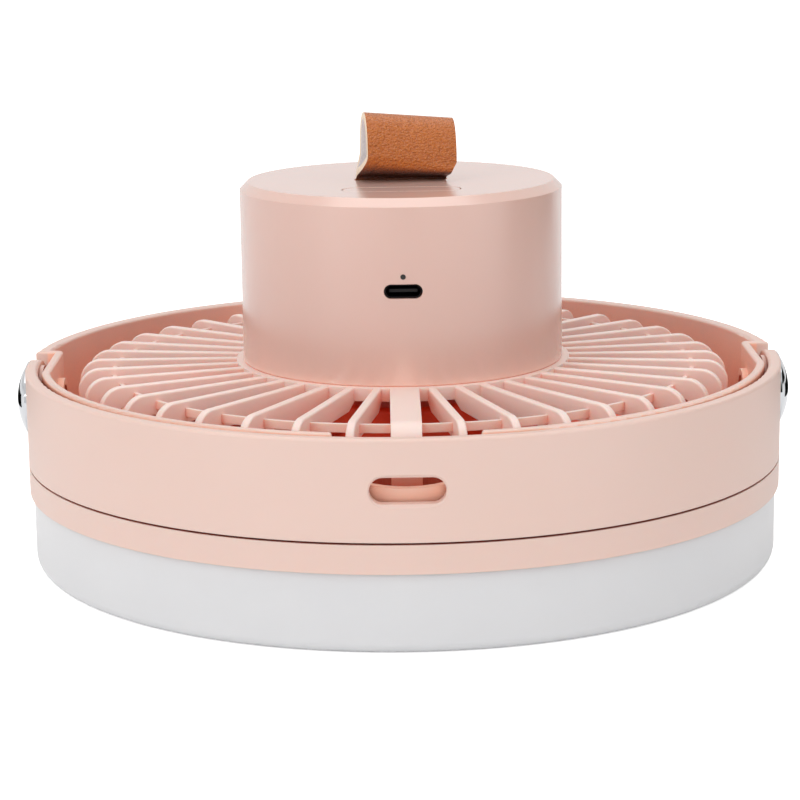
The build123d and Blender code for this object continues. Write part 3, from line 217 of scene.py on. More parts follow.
# %% Sky
WORLD_LIGHT = 0.56
WORLD_IN_GLOSS = 0.86
WORLD_TO_CAMERA = 1.0
world = bpy.data.worlds.new("white_studio")
world.use_nodes = True
bpy.context.scene.world = world
tree = world.node_tree
tree.nodes.clear()
seen = add_node(tree, "ShaderNodeLightPath").outputs
in_gloss = add_node(tree, "ShaderNodeMapRange", {"Value": seen["Is Glossy Ray"], "To Min": WORLD_LIGHT,
                                                 "To Max": WORLD_IN_GLOSS})
strength = add_node(tree, "ShaderNodeMapRange", {"Value": seen["Is Camera Ray"],
                                                 "To Min": in_gloss.outputs["Result"],
                                                 "To Max": WORLD_TO_CAMERA})
sky = add_node(tree, "ShaderNodeBackground", {"Color": (1, 1, 1, 1), "Strength": strength.outputs["Result"]})
add_node(tree, "ShaderNodeOutputWorld", {"Surface": sky.outputs["Background"]})
print("sky as light, in gloss and to the camera:", WORLD_LIGHT, WORLD_IN_GLOSS, WORLD_TO_CAMERA)

# %% [markdown]
# Four softboxes shape the round drum. The broad one overhead is the main lamp. One tall one at
# each side leaves a pale upright band on the hub, and a small one behind the camera and above
# it puts the glints on the leather.

# %% Lamps
def softbox(name, place, target, width, height, watts):
    """A rectangular area lamp at place, facing target, in metres and watts."""
    data = bpy.data.lights.new(name, "AREA")
    data.shape = "RECTANGLE"
    data.size, data.size_y = width, height
    data.energy = watts
    lamp = bpy.data.objects.new(name, data)
    lamp.location = place
    lamp.rotation_euler = (Vector(target) - Vector(place)).to_track_quat("-Z", "Y").to_euler()
    bpy.context.scene.collection.objects.link(lamp)


HUB_MIDDLE = (0, 0, 0.06)
softbox("front_box", (-0.15, -0.95, 0.42), HUB_MIDDLE, 0.16, 0.1, 0.55)
softbox("left_strip", (-0.72, -0.68, 0.5), HUB_MIDDLE, 0.28, 0.9, 2.75)
softbox("right_strip", (0.8, -0.56, 0.5), HUB_MIDDLE, 0.22, 0.9, 1.7)
softbox("top_box", (0.0, -0.05, 1.6), HUB_MIDDLE, 1.6, 1.6, 11.2)
print("lamps:", sorted(lamp.name for lamp in bpy.data.lights))

# %% [markdown]
# Four black cards stand round the fan. Nobody sees them directly, but glossy surfaces mirror
# them, and chrome with nothing dark to mirror looks like white paint. Two are small and low,
# outside the chrome caps and a little behind them. One stands behind the camera, so that the
# front of the polished hub keeps its colour. Only the large one on the right also takes light
# away from its side.

# %% Dark cards
def dark_card(name, azimuth, distance, width, height, lift=0.0, dims_the_light=False):
    """A black card that faces the fan, lifted off the floor, azimuth counted from the camera."""
    turn = Matrix.Rotation(radians(azimuth), 4, "Z")
    stand_up = Matrix.Translation((0, -distance, lift + height / 2)) @ Matrix.Rotation(pi / 2, 4, "X")
    full_size = Matrix.Diagonal((width, height, 1, 1))
    mesh = bmesh.new()
    bmesh.ops.create_grid(mesh, x_segments=1, y_segments=1, size=0.5)
    bmesh.ops.transform(mesh, matrix=turn @ stand_up @ full_size, verts=mesh.verts)
    data = bpy.data.meshes.new(name)
    mesh.to_mesh(data)
    mesh.free()
    card = bpy.data.objects.new(name, data)
    bpy.context.scene.collection.objects.link(card)
    card.visible_camera = False
    card.visible_diffuse = dims_the_light
    card.visible_shadow = dims_the_light
    card_material, _, card_surface = new_material(name)
    card_surface.inputs["Base Color"].default_value = linear("#0A0A0A")
    card_surface.inputs["Roughness"].default_value = 1.0
    card_surface.inputs["Specular IOR Level"].default_value = 0.0
    data.materials.append(card_material)
    card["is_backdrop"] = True


CAP_CARD_AZIMUTH = 124.0
CAP_CARD_DISTANCE = 187.0 * MM
dark_card("right_card", 105.0, 0.6, 0.65, 0.34, dims_the_light=True)
for side, sign in (("left", -1), ("right", 1)):
    dark_card(side + "_cap_card", sign * CAP_CARD_AZIMUTH, CAP_CARD_DISTANCE, 0.08, 0.018, lift=0.012)
dark_card("camera_card", 2.0, 1.1, 0.5, 0.75)

# %% [markdown]
# The pink shells are injection-moulded ABS. A spark-eroded mould leaves a very fine even grain
# that keeps the shine broad and soft, and the plastic lets a little light in, so thin ribs and
# edges glow warmer than thick walls. The grain is really about a tenth of a millimetre across.
# It is drawn at four tenths, the finest that still shows. Sharp edges of a moulding are never
# truly sharp, so the shader rounds them by a quarter of a millimetre for the light.
#
# Between pink walls the light goes from pink to pink and comes back warmer each time. That light
# and its shade are painted into the colour. Ambient occlusion measures how much of the surroundings
# a point has in sight. Where that is little, the colour goes over to a warmer one, a painted bounce
# light, and in the narrowest gaps to a deep one, a painted shade. Round the key the tint is dark,
# a painted shade in its gap. On the casing the warmer one ends inside the outer wall, so its outer
# face stays pale. The rotor is the same plastic in a much stronger colour: a painted shade, as it
# looks deep behind the grille.

# %% Moulded ABS
RECESS_MM = 28.0                    # how far a point looks round for walls
DEEP_FROM, DEEP_FULL = 0.3, 0.1     # shares of the surroundings in sight in a narrow gap
NO_LIMIT_MM = 1000.0                # a radius well outside the fan
TINT_EDGE_MM = 0.5                  # where the recess colour has a limit, it fades out over this
CLOUD_MM = 35.0                     # size of the slow drift in colour and shine
GRAIN_MM = 0.4
EDGE_MM = 0.25
LIGHT_DEPTH_MM = 3.0                # how far light gets into the plastic
LIGHT_SHARES = (1.0, 0.35, 0.22)    # and the shares of that for red, green and blue


def moulded_abs(name, colour, second_colour, roughness, painted_recess_tint, recess_from, recess_full,
                gap_shade_colour=None, recess_mm=RECESS_MM, recess_radius_mm=NO_LIMIT_MM, drift=0.02,
                grain_depth_mm=0.004, subsurface=0.12, ior=1.53, coat=0.0):
    """Injection-moulded ABS: a fine grain, a slow drift of colour and shine, soft edges.

    Where less of the surroundings than recess_from is in sight, its colour goes over to
    painted_recess_tint, which it reaches at recess_full: painted bounce light where that tint is
    warm, painted shade where it is deeper. That ends at recess_radius_mm from the fan's
    axis. In narrow gaps the colour goes over to gap_shade_colour, a painted shade.
    """
    material, tree, surface = new_material(name)
    place = add_node(tree, "ShaderNodeTexCoord").outputs["Object"]
    cloud = add_node(tree, "ShaderNodeTexNoise", {"Vector": place, "Scale": 1 / (CLOUD_MM * MM),
                                                  "Detail": 2.0})
    tint = add_node(tree, "ShaderNodeMix", {"Factor": cloud.outputs["Fac"], "A": linear(colour),
                                            "B": linear(second_colour)}, data_type="RGBA")
    openness = add_node(tree, "ShaderNodeAmbientOcclusion", {"Distance": recess_mm * MM}, samples=8)
    recess = add_node(tree, "ShaderNodeMapRange", {"Value": openness.outputs["AO"],
                                                   "From Min": recess_from, "From Max": recess_full})
    level = add_node(tree, "ShaderNodeVectorMath", {0: place, 1: (1.0, 1.0, 0.0)}, operation="MULTIPLY")
    off_axis = add_node(tree, "ShaderNodeVectorMath", {0: level.outputs["Vector"]}, operation="LENGTH")
    inside = add_node(tree, "ShaderNodeMapRange", {"Value": off_axis.outputs["Value"],
                                                   "From Min": (recess_radius_mm + TINT_EDGE_MM) * MM,
                                                   "From Max": recess_radius_mm * MM})
    share = add_node(tree, "ShaderNodeMath", {0: recess.outputs["Result"], 1: inside.outputs["Result"]},
                     operation="MULTIPLY")
    bounce_painted_tint = add_node(tree, "ShaderNodeMix", {"Factor": share.outputs[0], "A": tint.outputs["Result"],
                                              "B": linear(painted_recess_tint)}, data_type="RGBA")
    gap = add_node(tree, "ShaderNodeMapRange", {"Value": openness.outputs["AO"], "From Min": DEEP_FROM,
                                                "From Max": DEEP_FULL})
    deep = add_node(tree, "ShaderNodeMix", {"Factor": gap.outputs["Result"], "A": bounce_painted_tint.outputs["Result"],
                                            "B": linear(gap_shade_colour or painted_recess_tint)}, data_type="RGBA")
    tree.links.new(deep.outputs["Result"], surface.inputs["Base Color"])
    shine = add_node(tree, "ShaderNodeMapRange", {"Value": cloud.outputs["Fac"], "To Min": roughness - drift,
                                                  "To Max": roughness + drift})
    tree.links.new(shine.outputs["Result"], surface.inputs["Roughness"])
    grain = add_node(tree, "ShaderNodeTexNoise", {"Vector": place, "Scale": 1 / (GRAIN_MM * MM),
                                                  "Detail": 3.0})
    edge = add_node(tree, "ShaderNodeBevel", {"Radius": EDGE_MM * MM}, samples=4)
    bump = add_node(tree, "ShaderNodeBump", {"Height": grain.outputs["Fac"], "Distance": grain_depth_mm * MM,
                                             "Strength": 1.0, "Normal": edge.outputs["Normal"]})
    tree.links.new(bump.outputs["Normal"], surface.inputs["Normal"])
    surface.inputs["IOR"].default_value = ior
    surface.inputs["Coat Weight"].default_value = coat
    surface.inputs["Coat Roughness"].default_value = roughness
    surface.inputs["Subsurface Weight"].default_value = subsurface
    surface.inputs["Subsurface Radius"].default_value = LIGHT_SHARES
    surface.inputs["Subsurface Scale"].default_value = LIGHT_DEPTH_MM * MM
    return material


# In each call the third colour is painted bounce light in hollows, and the fourth, where given, a painted
# shade in narrow gaps.
casing_pink = moulded_abs("casing_pink_abs", "#E2C5BA", "#E0C2B6", 0.42, "#FFC2A8", 0.88, 0.5, "#B84426",
                          subsurface=0.25, recess_radius_mm=91.8)
stand_pink = moulded_abs("stand_pink_abs", "#E2C5BA", "#E0C2B6", 0.42, "#E4BEAF", 0.6, 0.3, "#984630")
grille_pink = moulded_abs("grille_pink_abs", "#EFDAD2", "#EDD6CD", 0.42, "#FFD8CA", 0.7, 0.25, "#F08A68",
                          subsurface=0.3)
gloss_pink = moulded_abs("polished_pink_abs", "#DDB8AB", "#DBB5A8", 0.23, "#FFCCBA", 0.75, 0.3, drift=0.012,
                         grain_depth_mm=0.0015, ior=1.75, coat=0.5)
# The key's dark third colour is a painted shade in the thin gap round it.
key_pink = moulded_abs("key_pink_abs", "#DDB8AB", "#DBB5A8", 0.23, "#3A2420", 0.6, 0.4, recess_mm=1.2,
                       drift=0.012, grain_depth_mm=0.0015, ior=1.75, coat=0.5)
# The rotor's strong colours are painted shade: the same pink plastic, seen deep behind the grille.
rotor_shade_painted_pink = moulded_abs("rotor_shade_painted_pink_abs", "#F4785A", "#F07052", 0.4, "#FF5A34", 0.85, 0.35)
print("moulded finishes:", [finish.name for finish in bpy.data.materials if finish.name.endswith("_abs")])

# %% [markdown]
# The lamp's ring is opal polycarbonate: clear plastic with a white powder in it that scatters
# the light of the LEDs. Unlit it is a cold white with a soft inner glow and a smooth skin.

# %% Opal diffuser
def opal_polycarbonate(cloud_mm=22.0, ripple_mm=0.6, ripple_depth_mm=0.002, light_depth_mm=4.0):
    """Milky polycarbonate: light wanders far inside it, under a smooth skin."""
    material, tree, surface = new_material("opal_polycarbonate")
    place = add_node(tree, "ShaderNodeTexCoord").outputs["Object"]
    cloud = add_node(tree, "ShaderNodeTexNoise", {"Vector": place, "Scale": 1 / (cloud_mm * MM),
                                                  "Detail": 2.0})
    tint = add_node(tree, "ShaderNodeMix", {"Factor": cloud.outputs["Fac"], "A": linear("#DADADB"),
                                            "B": linear("#D6D6D8")}, data_type="RGBA")
    tree.links.new(tint.outputs["Result"], surface.inputs["Base Color"])
    skin = add_node(tree, "ShaderNodeTexNoise", {"Vector": place, "Scale": 1 / (ripple_mm * MM),
                                                 "Detail": 2.0})
    bump = add_node(tree, "ShaderNodeBump", {"Height": skin.outputs["Fac"],
                                             "Distance": ripple_depth_mm * MM, "Strength": 1.0})
    tree.links.new(bump.outputs["Normal"], surface.inputs["Normal"])
    surface.inputs["Roughness"].default_value = 0.33
    surface.inputs["IOR"].default_value = 1.58
    surface.inputs["Subsurface Weight"].default_value = 0.5
    surface.inputs["Subsurface Radius"].default_value = (1.0, 0.95, 0.9)
    surface.inputs["Subsurface Scale"].default_value = light_depth_mm * MM
    return material


opal = opal_polycarbonate()
print("diffuser's finish:", opal.name)

# %% [markdown]
# Metals differ in colour and in how they were worked. Chrome plate is nearly a mirror, with a
# faint haze of handling. Zinc-plated steel is greyer and duller, machined brass keeps fine
# turning marks, and sintered bronze is open-pored. One function makes them all: a colour, a
# roughness, and marks of a real size and depth.

# %% Metals
WIPE_MM = 6.0       # size of the smears in the shine


def worked_metal(name, colour, roughness, mark_mm, mark_depth_mm, haze):
    """A metal with marks of a given size, and a shine that drifts a little."""
    material, tree, surface = new_material(name)
    place = add_node(tree, "ShaderNodeTexCoord").outputs["Object"]
    wipe = add_node(tree, "ShaderNodeTexNoise", {"Vector": place, "Scale": 1 / (WIPE_MM * MM),
                                                 "Detail": 4.0})
    shine = add_node(tree, "ShaderNodeMapRange", {"Value": wipe.outputs["Fac"], "To Min": roughness,
                                                  "To Max": roughness + haze})
    tree.links.new(shine.outputs["Result"], surface.inputs["Roughness"])
    marks = add_node(tree, "ShaderNodeTexNoise", {"Vector": place, "Scale": 1 / (mark_mm * MM),
                                                  "Detail": 3.0})
    bump = add_node(tree, "ShaderNodeBump", {"Height": marks.outputs["Fac"], "Distance": mark_depth_mm * MM,
                                             "Strength": 1.0})
    tree.links.new(bump.outputs["Normal"], surface.inputs["Normal"])
    surface.inputs["Base Color"].default_value = linear(colour)
    surface.inputs["Metallic"].default_value = 1.0
    return material


chrome = worked_metal("chrome_plate", "#CDCFD2", 0.04, 0.8, 0.0004, haze=0.05)
zinc_steel = worked_metal("zinc_plated_steel", "#B9BCC0", 0.3, 0.3, 0.003, haze=0.12)
brass = worked_metal("machined_brass", "#D8B46A", 0.28, 0.25, 0.004, haze=0.1)
bronze = worked_metal("sintered_bronze", "#A9805A", 0.5, 0.2, 0.01, haze=0.15)
# The socket's steel is drawn nearly black, a painted shade: the inside of the port is in shade.
socket_steel_shade_painted = worked_metal("stamped_socket_steel_painted_shade", "#2A2627", 0.4, 0.4, 0.002, haze=0.1)
print("finishes so far:", len(bpy.data.materials))

# %% [markdown]
# The pieces inside, and the small dark ones, are plastics, ceramics and boards. Each has its
# own colour and its own grit, and a mottle that keeps a large face from looking printed.

# %% Boards, black plastic and other solid fillings
def solid_finish(name, colour, second_colour, roughness, grit_mm, grit_depth_mm, mottle_mm=8.0):
    """A non-metal with a mottle between two near colours and a grit of a real size."""
    material, tree, surface = new_material(name)
    place = add_node(tree, "ShaderNodeTexCoord").outputs["Object"]
    mottle = add_node(tree, "ShaderNodeTexNoise", {"Vector": place, "Scale": 1 / (mottle_mm * MM),
                                                   "Detail": 3.0})
    tint = add_node(tree, "ShaderNodeMix", {"Factor": mottle.outputs["Fac"], "A": linear(colour),
                                            "B": linear(second_colour)}, data_type="RGBA")
    tree.links.new(tint.outputs["Result"], surface.inputs["Base Color"])
    grit = add_node(tree, "ShaderNodeTexNoise", {"Vector": place, "Scale": 1 / (grit_mm * MM),
                                                 "Detail": 2.0})
    bump = add_node(tree, "ShaderNodeBump", {"Height": grit.outputs["Fac"], "Distance": grit_depth_mm * MM,
                                             "Strength": 1.0})
    tree.links.new(bump.outputs["Normal"], surface.inputs["Normal"])
    surface.inputs["Roughness"].default_value = roughness
    return material


black_plastic = solid_finish("black_plastic", "#1B1B1C", "#232325", 0.4, 0.4, 0.004)
tongue_plastic = solid_finish("matt_black_tongue", "#0B0B0C", "#101011", 0.7, 0.4, 0.004)
white_board = solid_finish("white_solder_mask", "#EDEEEA", "#E4E6E2", 0.35, 0.5, 0.003)
led_phosphor = solid_finish("led_phosphor", "#F2E27E", "#EBD765", 0.3, 0.2, 0.004, mottle_mm=2.0)
green_board = solid_finish("green_solder_mask", "#1E6A44", "#175A39", 0.35, 0.6, 0.006)
cell_sleeve = solid_finish("shrunk_cell_sleeve", "#2C6FB3", "#2766A6", 0.3, 0.9, 0.01)
ferrite = solid_finish("sintered_ferrite", "#3A3A3D", "#2E2E31", 0.6, 0.3, 0.02)
nylon = solid_finish("natural_nylon", "#ECE7DB", "#E4DECF", 0.45, 0.5, 0.006)
lead_skin = solid_finish("lead_insulation", "#C23A32", "#B4322B", 0.45, 0.5, 0.006)


def smoked_lens(cloud_mm=2.0):
    """Smoke-tinted plastic of the charge indicator: nearly black when it is off."""
    material, tree, surface = new_material("smoked_lens")
    place = add_node(tree, "ShaderNodeTexCoord").outputs["Object"]
    depth = add_node(tree, "ShaderNodeTexNoise", {"Vector": place, "Scale": 1 / (cloud_mm * MM)})
    tint = add_node(tree, "ShaderNodeMix", {"Factor": depth.outputs["Fac"], "A": linear("#130D0C"),
                                            "B": linear("#0E0909")}, data_type="RGBA")
    tree.links.new(tint.outputs["Result"], surface.inputs["Base Color"])
    surface.inputs["Roughness"].default_value = 0.12
    surface.inputs["IOR"].default_value = 1.49
    return material


smoked = smoked_lens()
print("finishes now:", len(bpy.data.materials))

# %% [markdown]
# Now the finishes meet the pieces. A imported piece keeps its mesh, and only the material in its
# slot changes. The list reads like a bill of materials.

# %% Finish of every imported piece
finishes = {
    casing_pink: ("main_casing", "front_grille", "front_cap"),
    stand_pink: ("swing_stand",),
    grille_pink: ("rear_grille",),
    gloss_pink: ("hub_shell",),
    key_pink: ("speed_key",),
    rotor_shade_painted_pink: ("fan_rotor",),
    opal: ("diffuser_ring",),
    chrome: ("pivot_cap_left", "pivot_cap_right"),
    zinc_steel: ("deck_screws", "basket_screws", "outlet_screws", "board_screws", "motor_screws",
                 "pivot_screw_left", "pivot_screw_right", "motor_can", "motor_shaft", "strap_pin",
                 "rotor_nut", "cell_tabs", "motor_armature"),
    brass: ("pivot_insert_left", "pivot_insert_right"),
    bronze: ("motor_bushes",),
    socket_steel_shade_painted: ("usb_c_socket",),
    tongue_plastic: ("usb_c_tongue",),
    black_plastic: ("key_switch", "switch_plunger", "board_components",
                    "battery_cradle", "motor_end_cap"),
    white_board: ("led_board",),
    led_phosphor: ("led_chips", "charge_led"),
    green_board: ("main_board",),
    cell_sleeve: ("battery_cell_front", "battery_cell_rear"),
    ferrite: ("motor_magnets",),
    nylon: ("friction_washer_left", "friction_washer_right"),
    lead_skin: ("lamp_lead", "motor_lead", "battery_leads"),
    smoked: ("indicator_light_pipe",),
}
for finish, members in finishes.items():
    for member in members:
        for material_slot in nodes[member].material_slots:
            material_slot.material = finish
dressed = {member for members in finishes.values() for member in members}
print("dressed:", len(dressed), "left for a new piece:", sorted(set(nodes) - dressed))

# %% [markdown]
# The hanging loop is a strip of leather, 22.4 mm wide and 1.6 mm thick, bent round with its
# grain side out. Its two ends go down into one slot in the hub, where a pin holds them. Only
# the leather over the hub is drawn: it starts and ends 0.4 mm down in the slot, out of sight.
# Leather bends in one direction at a time, so the strip is drawn as a side view, the path, and
# carried across its width. Bunched in the slot it is straight, but above it the loop leans and
# turns a little, as leather does once it has been folded. That turn grows from nothing at the
# slot to its full value six millimetres up.

# %% Route of the strap
STRAP_WIDTH = 22.4 * MM
STRAP_THICKNESS = 1.6 * MM
strap_low, strap_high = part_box("leather_strap")
HUB_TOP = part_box("hub_shell")[1].z
SLOT_Y = -1.5 * MM
LOOP_TURN = radians(12.0)
LOOP_LEAN = 0.093               # fall of the crest towards +X
LOOP_SHIFT = 1.1 * MM           # and its drift that way
TURN_FULL = 6.0 * MM            # height over the hub at which the turn is complete
ROUTE_STEPS = 110

# side view of the loop over the hub: (forward of the slot's middle, up from the hub's top)
leaf_route = [
    (-0.8, -0.4), (-0.8, 3.0), (-0.2, 8.0), (0.35, 11.6), (1.3, 14.3), (3.2, 15.7),
    (5.1, 15.4), (6.5, 13.9), (7.4, 11.5), (7.8, 9.3), (8.0, 7.4), (8.0, 5.2),
    (7.2, 3.3), (4.6, 2.4), (2.0, 1.8), (0.9, 0.8), (0.8, -0.4),
]
print("strap's packed box (mm):", [round(v / MM, 1) for v in (*strap_low, *strap_high)])


def smooth_route(points, steps):
    """Evenly spaced points on a cubic curve through the given ones."""
    curve = bpy.data.curves.new("route", "CURVE")
    curve.dimensions = "3D"
    spline = curve.splines.new("NURBS")
    spline.points.add(len(points) - 1)
    for point, (forward, up) in zip(spline.points, points):
        point.co = (0, SLOT_Y - forward * MM, HUB_TOP + up * MM, 1)
    spline.order_u = 4
    spline.use_endpoint_u = True
    spline.resolution_u = 24
    holder = bpy.data.objects.new("route", curve)
    dense = [v.co.copy() for v in bpy.data.meshes.new_from_object(holder).vertices]
    bpy.data.objects.remove(holder)
    run = [0.0]
    for first, second in zip(dense, dense[1:]):
        run.append(run[-1] + (second - first).length)
    even, k = [], 0
    for step in range(steps + 1):
        goal = run[-1] * step / steps
        while k < len(run) - 2 and run[k + 1] < goal:
            k += 1
        share = (goal - run[k]) / (run[k + 1] - run[k])
        even.append(dense[k].lerp(dense[k + 1], share))
    return even, run[-1]


loop_line, loop_length = smooth_route(leaf_route, ROUTE_STEPS)
print("leather above the slot: %.1f mm" % (loop_length / MM))

# %% [markdown]
# The strip starts as a flat grid. Each column of it is a line along the leather, each row lies
# across it. The rows are set on the route one by one, turned and leaned as above. A shallow
# crease, 3 mm in from the left edge of the front leaf, is sunk into the grid itself, so it is
# there from every side. The grid is then given its thickness and its corners are rounded.

# %% Mesh of the strap
STRAP_COLUMNS = 56
CREASE_INSET = 3.0 * MM
CREASE_HALF_WIDTH = 0.35 * MM
CREASE_DEPTH = 0.14 * MM
CREASE_START, CREASE_FULL = 0.5, 0.6    # shares of the route: over the crest, and down the front
EDGE_ROUNDING = 0.3 * MM
SHARP_CORNER = radians(50)              # a corner this sharp is rounded


def leather_point(row_point, normal, across, share_of_route):
    """A point of the strap's middle sheet: across the strip, on the route, creased and turned."""
    rise = min(1.0, max(0.0, (row_point.z - HUB_TOP) / TURN_FULL))
    share = rise * rise * (3 - 2 * rise)
    crease = max(0.0, 1 - ((across + STRAP_WIDTH / 2 - CREASE_INSET) / CREASE_HALF_WIDTH) ** 2)
    crease *= min(1.0, max(0.0, (share_of_route - CREASE_START) / (CREASE_FULL - CREASE_START)))
    point = row_point + normal * (-CREASE_DEPTH * crease)
    forward = point.y - SLOT_Y
    turn = LOOP_TURN * share
    x = across * cos(turn) - forward * sin(turn) + LOOP_SHIFT * share
    y = SLOT_Y + across * sin(turn) * share + forward * cos(turn)
    return Vector((x, y, point.z - LOOP_LEAN * share * across))


strap_mesh = bmesh.new()
rows = len(loop_line)
bmesh.ops.create_grid(strap_mesh, x_segments=STRAP_COLUMNS, y_segments=rows - 1, size=0.5, calc_uvs=True)
uv_map = strap_mesh.loops.layers.uv.verify()
for face in strap_mesh.faces:
    for corner in face.loops:
        x, y, _ = corner.vert.co
        corner[uv_map].uv = (x * STRAP_WIDTH / MM, (y + 0.5) * loop_length / MM)     # millimetres
for vert in strap_mesh.verts:
    row = round((vert.co.y + 0.5) * (rows - 1))
    before, after = loop_line[max(0, row - 1)], loop_line[min(rows - 1, row + 1)]
    along = (after - before).normalized()
    outward = Vector((0, -along.z, along.y)) * -1
    vert.co = leather_point(loop_line[row], outward, vert.co.x * STRAP_WIDTH, row / (rows - 1))
bmesh.ops.reverse_faces(strap_mesh, faces=strap_mesh.faces)
strap_data = bpy.data.meshes.new("leather_loop")
strap_mesh.to_mesh(strap_data)
strap_mesh.free()
strap = bpy.data.objects.new("leather_loop", strap_data)
bpy.context.scene.collection.objects.link(strap)
thicken = strap.modifiers.new("thickness", "SOLIDIFY")
thicken.thickness = STRAP_THICKNESS
thicken.offset = 0.0
thicken.use_even_offset = True
thicken.material_offset = 1
thicken.material_offset_rim = 2
soften = strap.modifiers.new("rounded_edges", "BEVEL")
soften.width = EDGE_ROUNDING
soften.segments = 2
soften.limit_method = "ANGLE"
soften.angle_limit = SHARP_CORNER
for polygon in strap_data.polygons:
    polygon.use_smooth = True
print("strap's faces before it is thickened:", len(strap_data.polygons))

# %% [markdown]
# The leather is chrome-tanned cowhide with a printed grain. Its pebbles are about 0.8 mm across
# the strap and 0.5 mm along it, and the slopes between them catch the light as small glints.
# The finish coat is a thin clear lacquer. Where the loop shades itself, a painted shade takes the
# colour over to a deep brown. Inside, the flesh side is a pale suede, and the cut edges show the
# undyed middle.
# The strap's UV map is in millimetres, so the pebbles follow the leather round its bends.

# %% Finish of the leather
PEBBLE_MM = 0.48                    # along the strap
PEBBLE_SHAPE = (0.6, 1.0, 1.0)      # and across it that length divided by 0.6
PEBBLE_RELIEF_MM = 0.42
WANDER_MM = 0.4                     # how far the pattern of pebbles strays
WANDER_WAVE_MM = 1.4                # and over what length
FINE_GRAIN_MM = 0.5
PATCH_MM = 6.0                      # size of the slow drift in colour
SHELTER_MM = 8.0                    # how far a point looks round for what shades it
TOP_OF_PEBBLE, VALLEY = 0.25, 0.75  # distances from a pebble's middle, as shares of its size


def grain_leather():
    """Tan leather with a pebbled grain, darker in its valleys, under a thin lacquer."""
    material, tree, surface = new_material("tan_grain_leather")
    coordinates = add_node(tree, "ShaderNodeTexCoord").outputs
    place = coordinates["Object"]
    wander = add_node(tree, "ShaderNodeTexNoise", {"Vector": place, "Scale": 1 / (WANDER_WAVE_MM * MM),
                                                   "Detail": 2.0})
    bent = add_node(tree, "ShaderNodeVectorMath", {0: wander.outputs["Color"], "Scale": WANDER_MM},
                    operation="SCALE")
    shaped = add_node(tree, "ShaderNodeVectorMath", {0: coordinates["UV"], 1: PEBBLE_SHAPE},
                      operation="MULTIPLY")
    moved = add_node(tree, "ShaderNodeVectorMath", {0: shaped.outputs["Vector"], 1: bent.outputs["Vector"]},
                     operation="ADD")
    pebble = add_node(tree, "ShaderNodeTexVoronoi", {"Vector": moved.outputs["Vector"],
                                                     "Scale": 1 / PEBBLE_MM, "Smoothness": 0.5},
                      feature="SMOOTH_F1")
    fine = add_node(tree, "ShaderNodeTexNoise", {"Vector": place, "Scale": 1 / (FINE_GRAIN_MM * MM),
                                                 "Detail": 1.0})
    height = add_node(tree, "ShaderNodeMath", {0: pebble.outputs["Distance"], 1: -1.0,
                                               2: fine.outputs["Fac"]}, operation="MULTIPLY_ADD")
    patch = add_node(tree, "ShaderNodeTexNoise", {"Vector": place, "Scale": 1 / (PATCH_MM * MM),
                                                  "Detail": 3.0})
    valley = add_node(tree, "ShaderNodeMapRange", {"Value": pebble.outputs["Distance"],
                                                   "From Min": TOP_OF_PEBBLE, "From Max": VALLEY})
    hide = add_node(tree, "ShaderNodeMix", {"Factor": patch.outputs["Fac"], "A": linear("#C46C10"),
                                            "B": linear("#BA620A")}, data_type="RGBA")
    tint = add_node(tree, "ShaderNodeMix", {"Factor": valley.outputs["Result"], "A": hide.outputs["Result"],
                                            "B": linear("#B45C0C")}, data_type="RGBA")
    # Painted shade: where the loop shades itself, the colour goes over to a deep brown.
    openness = add_node(tree, "ShaderNodeAmbientOcclusion", {"Distance": SHELTER_MM * MM}, samples=8)
    under = add_node(tree, "ShaderNodeMapRange", {"Value": openness.outputs["AO"], "From Min": 0.6,
                                                  "From Max": 0.2})
    shade_painted_brown = add_node(tree, "ShaderNodeMix", {"Factor": under.outputs["Result"], "A": tint.outputs["Result"],
                                            "B": linear("#451402")}, data_type="RGBA")
    tree.links.new(shade_painted_brown.outputs["Result"], surface.inputs["Base Color"])
    bump = add_node(tree, "ShaderNodeBump", {"Height": height.outputs[0],
                                             "Distance": PEBBLE_RELIEF_MM * MM, "Strength": 1.0})
    tree.links.new(bump.outputs["Normal"], surface.inputs["Normal"])
    surface.inputs["Roughness"].default_value = 0.28
    surface.inputs["IOR"].default_value = 1.5
    surface.inputs["Coat Weight"].default_value = 0.5
    surface.inputs["Coat Roughness"].default_value = 0.22
    return material


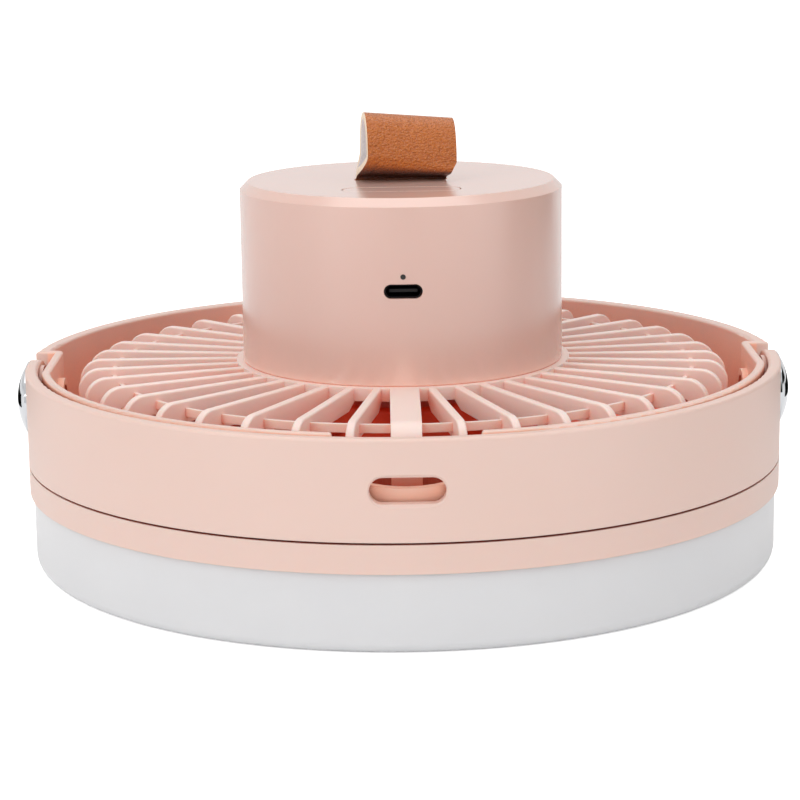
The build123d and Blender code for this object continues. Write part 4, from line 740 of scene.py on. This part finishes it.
def flesh_suede(nap_mm=0.35, nap_depth_mm=0.12):
    """The flesh side: pale grey suede, with a nap that scatters light at its edges."""
    material, tree, surface = new_material("flesh_side_suede")
    place = add_node(tree, "ShaderNodeTexCoord").outputs["Object"]
    nap = add_node(tree, "ShaderNodeTexNoise", {"Vector": place, "Scale": 1 / (nap_mm * MM), "Detail": 5.0})
    tint = add_node(tree, "ShaderNodeMix", {"Factor": nap.outputs["Fac"], "A": linear("#E6E1E2"),
                                            "B": linear("#FAF7F7")}, data_type="RGBA")
    tree.links.new(tint.outputs["Result"], surface.inputs["Base Color"])
    bump = add_node(tree, "ShaderNodeBump", {"Height": nap.outputs["Fac"], "Distance": nap_depth_mm * MM,
                                             "Strength": 1.0})
    tree.links.new(bump.outputs["Normal"], surface.inputs["Normal"])
    surface.inputs["Roughness"].default_value = 0.95
    surface.inputs["Sheen Weight"].default_value = 0.4
    return material


def cut_edge(fibre_mm=0.5, fibre_depth_mm=0.08):
    """The cut edge of the leather: cream fibre, slightly ragged."""
    material, tree, surface = new_material("cut_leather_edge")
    place = add_node(tree, "ShaderNodeTexCoord").outputs["Object"]
    fibre = add_node(tree, "ShaderNodeTexNoise", {"Vector": place, "Scale": 1 / (fibre_mm * MM),
                                                  "Detail": 4.0})
    tint = add_node(tree, "ShaderNodeMix", {"Factor": fibre.outputs["Fac"], "A": linear("#E9D3B8"),
                                            "B": linear("#F6E9D6")}, data_type="RGBA")
    tree.links.new(tint.outputs["Result"], surface.inputs["Base Color"])
    bump = add_node(tree, "ShaderNodeBump", {"Height": fibre.outputs["Fac"],
                                             "Distance": fibre_depth_mm * MM, "Strength": 1.0})
    tree.links.new(bump.outputs["Normal"], surface.inputs["Normal"])
    surface.inputs["Roughness"].default_value = 0.8
    return material


for leather_finish in (grain_leather(), flesh_suede(), cut_edge()):
    strap_data.materials.append(leather_finish)
print("strap's finishes:", [leather_finish.name for leather_finish in strap_data.materials])
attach(strap, "casing")
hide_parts("leather_strap")

# %% [markdown]
# Last, the size. A finish must not make the fan grow, so the box of the dressed model is kept
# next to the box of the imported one.

# %% Size and table
dressed_low, dressed_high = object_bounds()
outer_faces = zip((*cad_low, *dressed_high), (*dressed_low, *cad_high))
print("grown by (mm):", [round((larger - smaller) / MM, 2) for larger, smaller in outer_faces])
